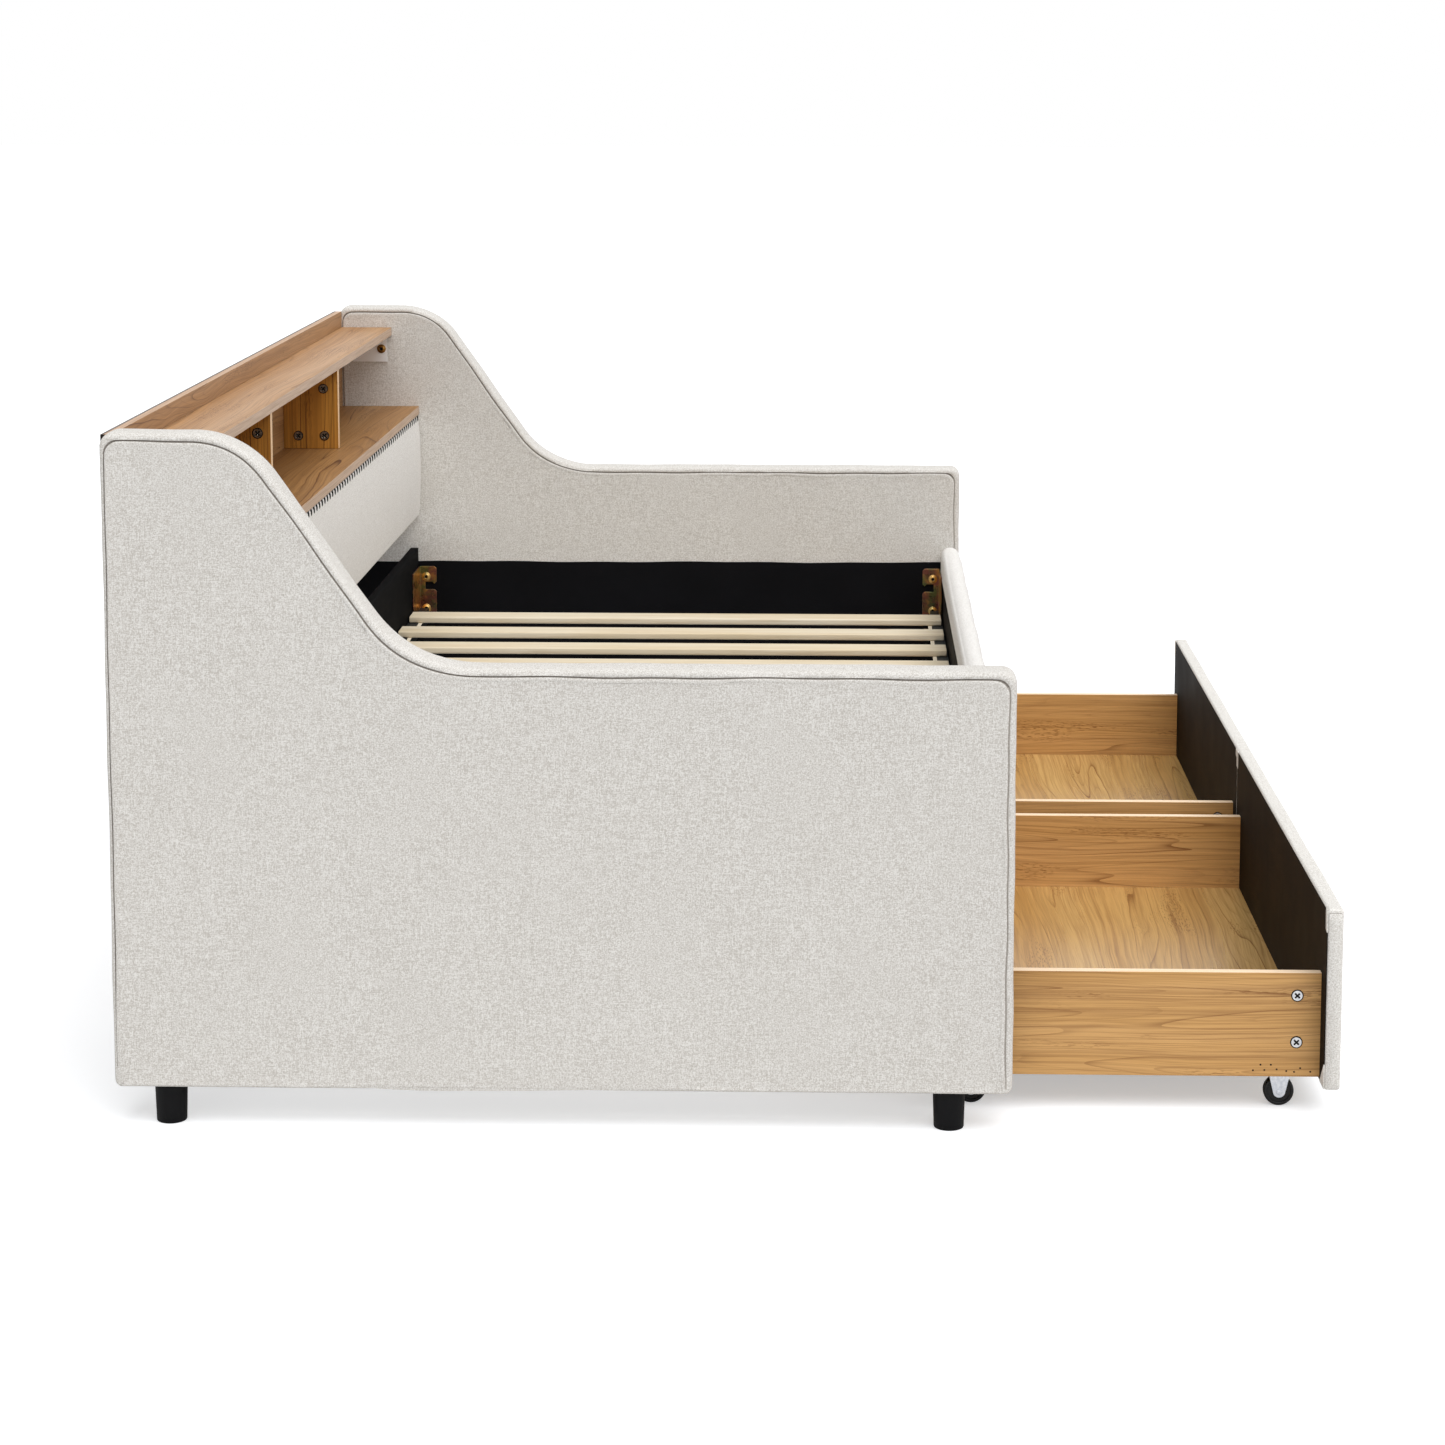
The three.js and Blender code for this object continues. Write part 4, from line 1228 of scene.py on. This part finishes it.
# White steel angle brackets under the ends of the top shelf. Each is pressed from one plate, coated, and
# held to its arm by a brass bolt.
white_bolt_y, white_bolt_z = 743, 865
white_steel = clouded_finish(
    "white_coated_steel", (252, 252, 252), (246, 246, 246), (30, 30, 30), rough=(0.32, 0.46),
    grain=420, relief=(0.12, 0.3), Specular_IOR_Level=0.6,
)
brass = yellow_zinc_finish("brass_bolt", (200, 154, 86), (150, 108, 60), (126, 98, 54))
for name, side in (("left", -1), ("right", 1)):
    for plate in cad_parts[f"{name}_shelf_bracket"].material_slots:
        plate.material = white_steel
    place = (side * (rail_end - 2), white_bolt_y, white_bolt_z)
    socket_bolt(f"{name}_shelf_bracket_bolt", place, side, brass)

# Back panel: a board with thin padding, covered in the same cloth, between the arms below the lower
# shelf. A row of dark nailheads close under the shelf pulls small dimples into its top edge.
panel_front, panel_thick, panel_crown, panel_low, panel_high = 671, 20, 5, 535, 735.7
nail_pitch, nail_height, nail_radius = 26, 729, 6
nail_count = int((2 * rail_end - 20) / nail_pitch) + 1
first_nail = -nail_pitch * (nail_count - 1) / 2
# A paler copy of the upholstery cloth: painted light on the panel, which stands in shade under the shelf.
panel_cloth = cloth_finish("panel_upholstery_painted_light", (242, 240, 237), (213, 209, 204), slub=2.2)


def panel_section():
    """The cover's closed section: flat behind, crowned in front, round at its upper and lower edge."""
    line = [(panel_front + panel_thick, panel_low), (panel_front + panel_thick, panel_high)]
    reach = 8
    for t in np.linspace(0, 1, 8):
        line.append((panel_front + reach * (1 - t) ** 2, panel_high - reach * t * t))
    for z in np.linspace(panel_high - reach, panel_low + reach, 26)[1:-1]:
        share = (z - panel_low - reach) / (panel_high - panel_low - 2 * reach)
        line.append((panel_front - 4 * panel_crown * share * (1 - share), z))
    for t in np.linspace(0, 1, 7):
        line.append((panel_front + reach * t * t, panel_low + reach * (1 - t) ** 2))
    return line


def panel_at(section, x):
    """The section at one place: rolled at the ends, pulled in at the nails, and a little slack between."""
    from_end = rail_end - abs(x)
    roll = 6 / 12 * rounded_off(from_end, 12)
    beside = math.exp(-((from_end - 16) / 22) ** 2)
    pull = (0.5 + 0.5 * math.cos(2 * math.pi * (x - first_nail) / nail_pitch)) ** 2
    back = panel_front + panel_thick
    fitted = []
    for y, z in section:
        front_face = 1 if y < panel_front + 9 else 0
        below = nail_height - z
        dimple = 0.8 * pull * math.exp(-(below / 9) ** 2)
        tuck = 0.3 * pull * math.exp(-max(0, below) / 34) if below > 0 else 0
        slack = 0.4 * math.sin(x / 91 + z / 47) * math.sin(z / 61 + 1) + 0.9 * beside * math.sin((z - 540) / 70)
        inward = front_face * (dimple + tuck + slack * math.exp(-abs(z - 635) / 160)) + roll * (back - y) / panel_thick
        high = (z - panel_low) / (panel_high - panel_low)
        fitted.append((x, min(back, y + inward), z - (high - 0.5) * roll * 0.5))
    return fitted


panel_stations = cushion_stations(-rail_end, rail_end, 6.5, 12)
panel_cover = skin(
    "back_panel_cover", [run_shell(panel_section(), panel_stations, panel_at)], [panel_cloth], sharp=50,
)


def panel_loose(x, y, z):
    """Where the panel's cover is free: all its front but the edges and a round spot at each nail."""
    nearest = first_nail + np.round((x - first_nail) / nail_pitch) * nail_pitch
    nailed = np.hypot(x - nearest, z - nail_height) < nail_radius + 0.5
    front = (y < panel_front + 7) & (np.abs(x) < rail_end - 10) & (z > panel_low + 6) & (z < panel_high - 1)
    return front & ~nailed


plumped(panel_cover, panel_loose, 8, 2.2)
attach(panel_cover, "bed")
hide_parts("back_panel")

gunmetal = dark_board_finish("gunmetal_nailhead", (4, 4, 5), (12, 12, 14), 0.5, specular=0.08)
nail_profile = [
    (0, 1.3), (2.2, 1.2), (4.0, 0.9), (5.2, 0.5), (5.8, 0.15), (nail_radius, 0), (nail_radius, -0.8), (0, -0.8),
]
nails = [
    turned(nail_profile, 20, (first_nail + i * nail_pitch, panel_front + 0.75, nail_height), "Y", -1)
    for i in range(nail_count)
]
nail_row = skin("back_panel_nailheads", nails, [gunmetal], sharp=60)
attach(nail_row, "bed")

# Drawer fronts: a board with thin padding, the cloth pulled round all edges and folded over the ends.
# The inside is lined with dark satin sheet, and the folded corners of the cloth show beside it.
front_outer, front_inner, front_low, front_top = -840, -818, 43, 297
# A paler copy of the upholstery cloth: painted light on the drawer fronts and their ends.
front_cloth = cloth_finish("drawer_upholstery_painted_light", (238, 236, 232), (202, 198, 191))
drawer_spans = {"left": (-976, -2), "right": (2, 976)}
lining_sheet = dark_board_finish("dark_front_lining", (12, 9, 7), (22, 17, 13), 0.6, specular=0.08)


def front_cover(side, low_x, high_x):
    """The padded front: edges rounded, outer face faintly crowned, with a folded flap over each end."""
    radius = 4.5
    section = rounded_section((front_outer, front_low), (front_inner, front_top), radius, 10, 7)
    stations = cushion_stations(low_x, high_x, 12, radius, 7)
    middle_y, middle_z = (front_outer + front_inner) / 2, (front_low + front_top) / 2
    half_y, half_z = (front_inner - front_outer) / 2, (front_top - front_low) / 2

    def front_at(section, x):
        """The section at one place: rolled at the ends, its outer face crowned and a little lumpy."""
        from_end = min(x - low_x, high_x - x)
        roll = rounded_off(from_end, radius if abs(x) > 100 else 2)
        calm, fitted = min(1, from_end / 50), []
        for y, z in section:
            over, up = (y - middle_y) / half_y, (z - middle_z) / half_z
            puff = 0.7 * calm * (1 - up ** 4) * (1 if over < -0.9 else 0)
            puff += 0.25 * calm * math.sin(x / 63 + 2 * up) * (1 if over < -0.9 else 0)
            lump = 0.3 * calm * math.sin(x / 47 + over) * (1 if up > 0.95 else 0)
            fitted.append((x, y - over * roll - puff, z - up * roll + lump))
        return fitted

    shells = [run_shell(section, stations, front_at)]
    flap_section = rounded_section(
        (front_outer + 2.6, front_low + 2), (front_inner - 1.6, front_top - 5.5), 2.2, step=12, arc_steps=4,
    )
    for end, way in ((low_x, -1), (high_x, 1)):
        def flap_at(section, x, end=end, way=way):
            """The folded cloth over one end, its rim eased."""
            ease = 0.45 if (x - end) * way > 0.3 else 0
            return [
                (x, y - math.copysign(ease, y - middle_y), z - math.copysign(ease, z - middle_z)) for y, z in section
            ]
        flap_stations = [end - way * 2, end, end + way * 0.3, end + way * 0.75]
        if way < 0:
            flap_stations = flap_stations[::-1]
        points, faces = run_shell(flap_section, flap_stations, flap_at)
        # The flap's top faces take the darker seam cloth: a painted shade line where the cloth folds over the end.
        crease_shade_faces = [len(f) == 4 and min(points[k][2] for k in f) > front_top - 7.5 for f in faces]
        shells.append((points, faces, crease_shade_faces))
    return skin(f"{side}_drawer_front_cover", shells, [front_cloth, seam_shade_cloth], sharp=50)


def front_lining(side, low_x, high_x):
    """The dark sheet on the inner face, cut back where the folded corners of the cloth lie."""
    half = [(36, 45.5), (1.6, 78), (1.6, 265), (10.5, 266), (12.5, 293.5)]
    outline = [(low_x + e, z) for e, z in half] + [(high_x - e, z) for e, z in half[::-1]]
    points = [(x, y, z) for y in (front_inner - 0.4, front_inner + 0.55) for x, z in outline]
    return skin(f"{side}_drawer_front_lining", [(points, stacked(len(outline), 2))], [lining_sheet])


def corner_folds(side, low_x, high_x):
    """The cloth folded over the inner face in the corners, held flat by staples."""
    shells = []
    for end, way in ((low_x, 1), (high_x, -1)):
        top_fold = 264 if abs(end) > 100 else 282
        for outline in (
            [(1.2, top_fold), (10.6, top_fold + 1.5), (12, 284), (12.6, 294.6), (1.2, 295.4)],
            [(1.2, 44.6), (36.6, 44.8), (20, 61), (1.2, 79.5)],
        ):
            flat = [(end + way * e, z) for e, z in outline]
            middle = np.mean(flat, axis=0)
            drawn = [tuple(middle + (np.array(p) - middle) * 0.93) for p in flat]
            points = [(x, front_inner - 0.5, z) for x, z in flat] + [(x, front_inner + 0.9, z) for x, z in flat]
            points += [(x, front_inner + 1.3, z) for x, z in drawn]
            shells.append((points, stacked(len(outline), 3)))
    return skin(f"{side}_drawer_front_corner_folds", shells, [front_cloth], sharp=30)


for side, (low_x, high_x) in drawer_spans.items():
    body = f"{side}_drawer"
    cover = front_cover(side, low_x, high_x)
    plumped(
        cover,
        lambda x, y, z, low=low_x, high=high_x: (
            (y < front_outer + 2.5) & (x > low + 10) & (x < high - 10) & (z > front_low + 10) & (z < front_top - 10)
        ),
        5, 1.5,
    )
    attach(cover, body)
    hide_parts(f"{side}_drawer_front")
    for piece, finish_slot in (
        (front_lining(side, low_x, high_x), "black_lining"),
        (corner_folds(side, low_x, high_x), "upholstery_fabric"),
    ):
        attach(piece, body)

# Drawer boxes: two sides, a back and a floor of the same printed board, their top edges banded pale.
# The sides are held to the front by cam locks, and to the floor by a scatter of small nails.
box_inset, box_thick, box_low, box_top, box_back = 40, 15, 49, 196, -288
floor_low, floor_top = 61, 76
# The drawer boards' oak copies, too, are set lighter or darker for the light inside and outside the box: painted light
# and shade.
side_oak = oak_finish(
    "oak_drawer_side", "Y", "Z", (221, 174, 114), (203, 155, 92), (110, 62, 24), sway=0.06, lines=1.05,
    fine=1.6, shift=(150, -60, 8),
)
back_oak = oak_finish(
    "oak_drawer_back", "X", "Z", (216, 167, 100), (196, 145, 78), (110, 62, 24), sway=0.07, shift=(0, -80, 10),
)
floor_oak = oak_finish(
    "oak_drawer_floor", "X", "Y", (212, 174, 111), (195, 151, 87), (110, 64, 24), sway=0.05, shift=(480, 560, 4),
    shine=0.27, specular=0.75,
)
top_band = band_finish("oak_drawer_band", "Y", (250, 226, 196), (240, 208, 170))
back_band = band_finish("oak_drawer_back_band", "X", (250, 226, 196), (240, 208, 170))
bright_zinc = zinc_finish("bright_zinc", (244, 245, 248), (214, 216, 220), 0.32)
cam_from_front, cam_heights = 33, (164, 98)
nail_marks = [
    (-736.6, 65.7), (-750.8, 65.7), (-726.4, 57.7), (-742, 58.2), (-758.8, 59.2), (-772.1, 57), (-782.8, 55.9),
    (-791, 61.2), (-805, 56.2),
]
nail_steel = dark_board_finish("small_nail_steel", (30, 20, 12), (52, 36, 24), 0.5)
small_nail = [(0, 0.35), (0.9, 0.25), (1.4, 0), (1.4, -0.6), (0, -0.6)]
for side, (low_x, high_x) in drawer_spans.items():
    body = f"{side}_drawer"
    left, right = low_x + box_inset, high_x - box_inset
    walls = {
        "left_side": ((left, front_inner, box_low), (left + box_thick, box_back, box_top), side_oak, top_band),
        "right_side": ((right - box_thick, front_inner, box_low), (right, box_back, box_top), side_oak, top_band),
        "back": (
            (left + box_thick, box_back - box_thick, box_low), (right - box_thick, box_back, box_top),
            back_oak, back_band,
        ),
        "floor": (
            (left + box_thick, front_inner, floor_low), (right - box_thick, box_back - box_thick, floor_top),
            floor_oak, back_band,
        ),
    }
    for part_name, (low, high, oak, band) in walls.items():
        banded = {} if part_name == "floor" else {"+Z": 1}
        board = eased_board(f"{body}_{part_name}_board", low, high, [oak, band], 0.6, banded)
        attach(board, body)
        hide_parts(f"{body}_{part_name}")
    cam_y = front_inner + cam_from_front
    inner_rise = 7 if side == "right" else 0
    cam_locks(
        f"{body}_left_cam_locks", [(left, cam_y - inner_rise, high + inner_rise) for high in cam_heights],
        "X", -1, bright_zinc, body,
    )
    cam_locks(
        f"{body}_right_cam_locks", [(right, cam_y, high) for high in cam_heights], "X", 1, bright_zinc, body,
    )
    face_x, way = (left, -1) if side == "left" else (right, 1)
    heads = [turned(small_nail, 10, (face_x, y, z), "X", way) for y, z in nail_marks]
    nails = skin(f"{body}_small_nails", heads, [nail_steel])
    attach(nails, body)

# Fixed casters, four under each drawer: a folded fork of zinc-plated steel screwed below the floor, and
# a hard black wheel that turns on a riveted pin between its two cheeks.
wheel_radius, wheel_half, caster_inset = 21, 7.5, 68.8
caster_rows = {"front": -765.7, "rear": -340}
cheek_in, cheek_out, fork_top, fork_steel = 8.3, 9.9, 60.7, 1.6
fork_zinc = zinc_finish("fork_zinc", (236, 240, 247), (212, 218, 228), 0.28)
wheel_black = clouded_finish(
    "hard_black_wheel", (8, 8, 9), (16, 16, 17), (120, 120, 120), rough=(0.24, 0.42),
    grain=900, relief=(0.1, 0.2), Specular_IOR_Level=0.3, Coat_Weight=0.1, Coat_Roughness=0.25,
)


def cheek_outline():
    """One cheek of the fork: wide below the plate, narrowing to a round end at the pin."""
    top_half, end_radius, high = 17.5, 8.6, fork_top - 2.4
    lean_by = math.atan((top_half - end_radius) / (high - wheel_radius))
    turn = np.linspace(math.pi + lean_by, 2 * math.pi - lean_by, 22)
    line = [(top_half, high), (top_half - 1.2, fork_top - 0.8), (-top_half + 1.2, fork_top - 0.8), (-top_half, high)]
    return line + [(end_radius * math.cos(t), wheel_radius + end_radius * math.sin(t)) for t in turn]


def flat_shell(outline, near, far):
    """A flat plate of this outline in the upright plane, with softened rims."""
    middle, ease = np.mean(outline, axis=0), 0.35
    drawn = [tuple(np.array(p) + (middle - p) / np.linalg.norm(middle - p) * ease) for p in map(np.array, outline)]
    way = math.copysign(ease, far - near)
    points = [(near, *p) for p in drawn] + [(near + way, *p) for p in outline]
    points += [(far - way, *p) for p in outline] + [(far, *p) for p in drawn]
    return points, stacked(len(outline), 4)


def plate_shell(half_x, half_y, low, high):
    """The fork's top plate, with rounded corners."""
    radius, line = 4, []
    for cx, cy, start in ((1, 1, 0), (-1, 1, 90), (-1, -1, 180), (1, -1, 270)):
        centre = (cx * (half_x - radius), cy * (half_y - radius))
        line += arc(centre, radius, start, start + 90, 6)
    return [(x, y, z) for z in (low, high) for x, y in line], stacked(len(line), 2)


def set_at(shell, centre):
    """The same shell at another place."""
    points, faces = shell
    return np.array(points) + np.array(centre), faces


rivet = [
    (0, 1.5), (1.0, 1.5), (1.5, 1.25), (2.0, 1.3), (2.9, 1.35), (3.7, 1.1), (4.1, 0.5), (4.2, -0.3), (3.0, -0.3),
    (3.0, -cheek_out), (0, -cheek_out),
]
screw = [(0, 0.9), (2.2, 0.8), (3.3, 0.3), (3.5, -0.2), (0, -0.2)]
fork_shells = [plate_shell(13.5, 23, fork_top - fork_steel, fork_top)]
for way in (-1, 1):
    fork_shells += [
        flat_shell(cheek_outline(), way * cheek_in, way * cheek_out),
        turned(rivet, 32, (way * cheek_out, 0, wheel_radius), "X", way),
        *(turned(screw, 20, (way * 4.5, dy, fork_top - fork_steel), "Z", -1) for dy in (-15, 15)),
    ]

rim, turns = 16.3, 64
half_profile = [
    (wheel_radius, 3.6), (20.85, 5.0), (20.2, 6.4), (19.2, 7.2), (18.0, wheel_half), (rim + 0.6, wheel_half),
    (rim, 7.1), (rim - 0.6, 5.4), (9.2, 5.1), (8.6, 5.6), (8.4, 7.2), (8.0, wheel_half), (3.6, wheel_half), (3.3, 7.2),
]
wheel_profile = [(r, -w) for r, w in half_profile[::-1]] + half_profile
rows = len(wheel_profile)
wheel_shell = (
    [
        (w, r * math.cos(t), r * math.sin(t))
        for t in np.linspace(0, 2 * np.pi, turns, endpoint=False) for r, w in wheel_profile
    ],
    [face for i in range(turns) for face in belt(i * rows, (i + 1) % turns * rows, rows)],
)
for side, (low_x, high_x) in drawer_spans.items():
    for across_name, x in (("left", low_x + caster_inset), ("right", high_x - caster_inset)):
        for end, y in caster_rows.items():
            place = f"{side}_drawer_{across_name}_{end}"
            fork = skin(f"{place}_fork_plated", [set_at(shell, (x, y, 0)) for shell in fork_shells], [fork_zinc], 35)
            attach(fork, f"{side}_drawer")
            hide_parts(f"{place}_fork")
            wheel = skin(f"{place}_wheel_turned", [set_at(wheel_shell, (x, y, wheel_radius))], [wheel_black], 35)
            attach(wheel, f"{place}_wheel")
            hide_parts(f"{place}_wheel")
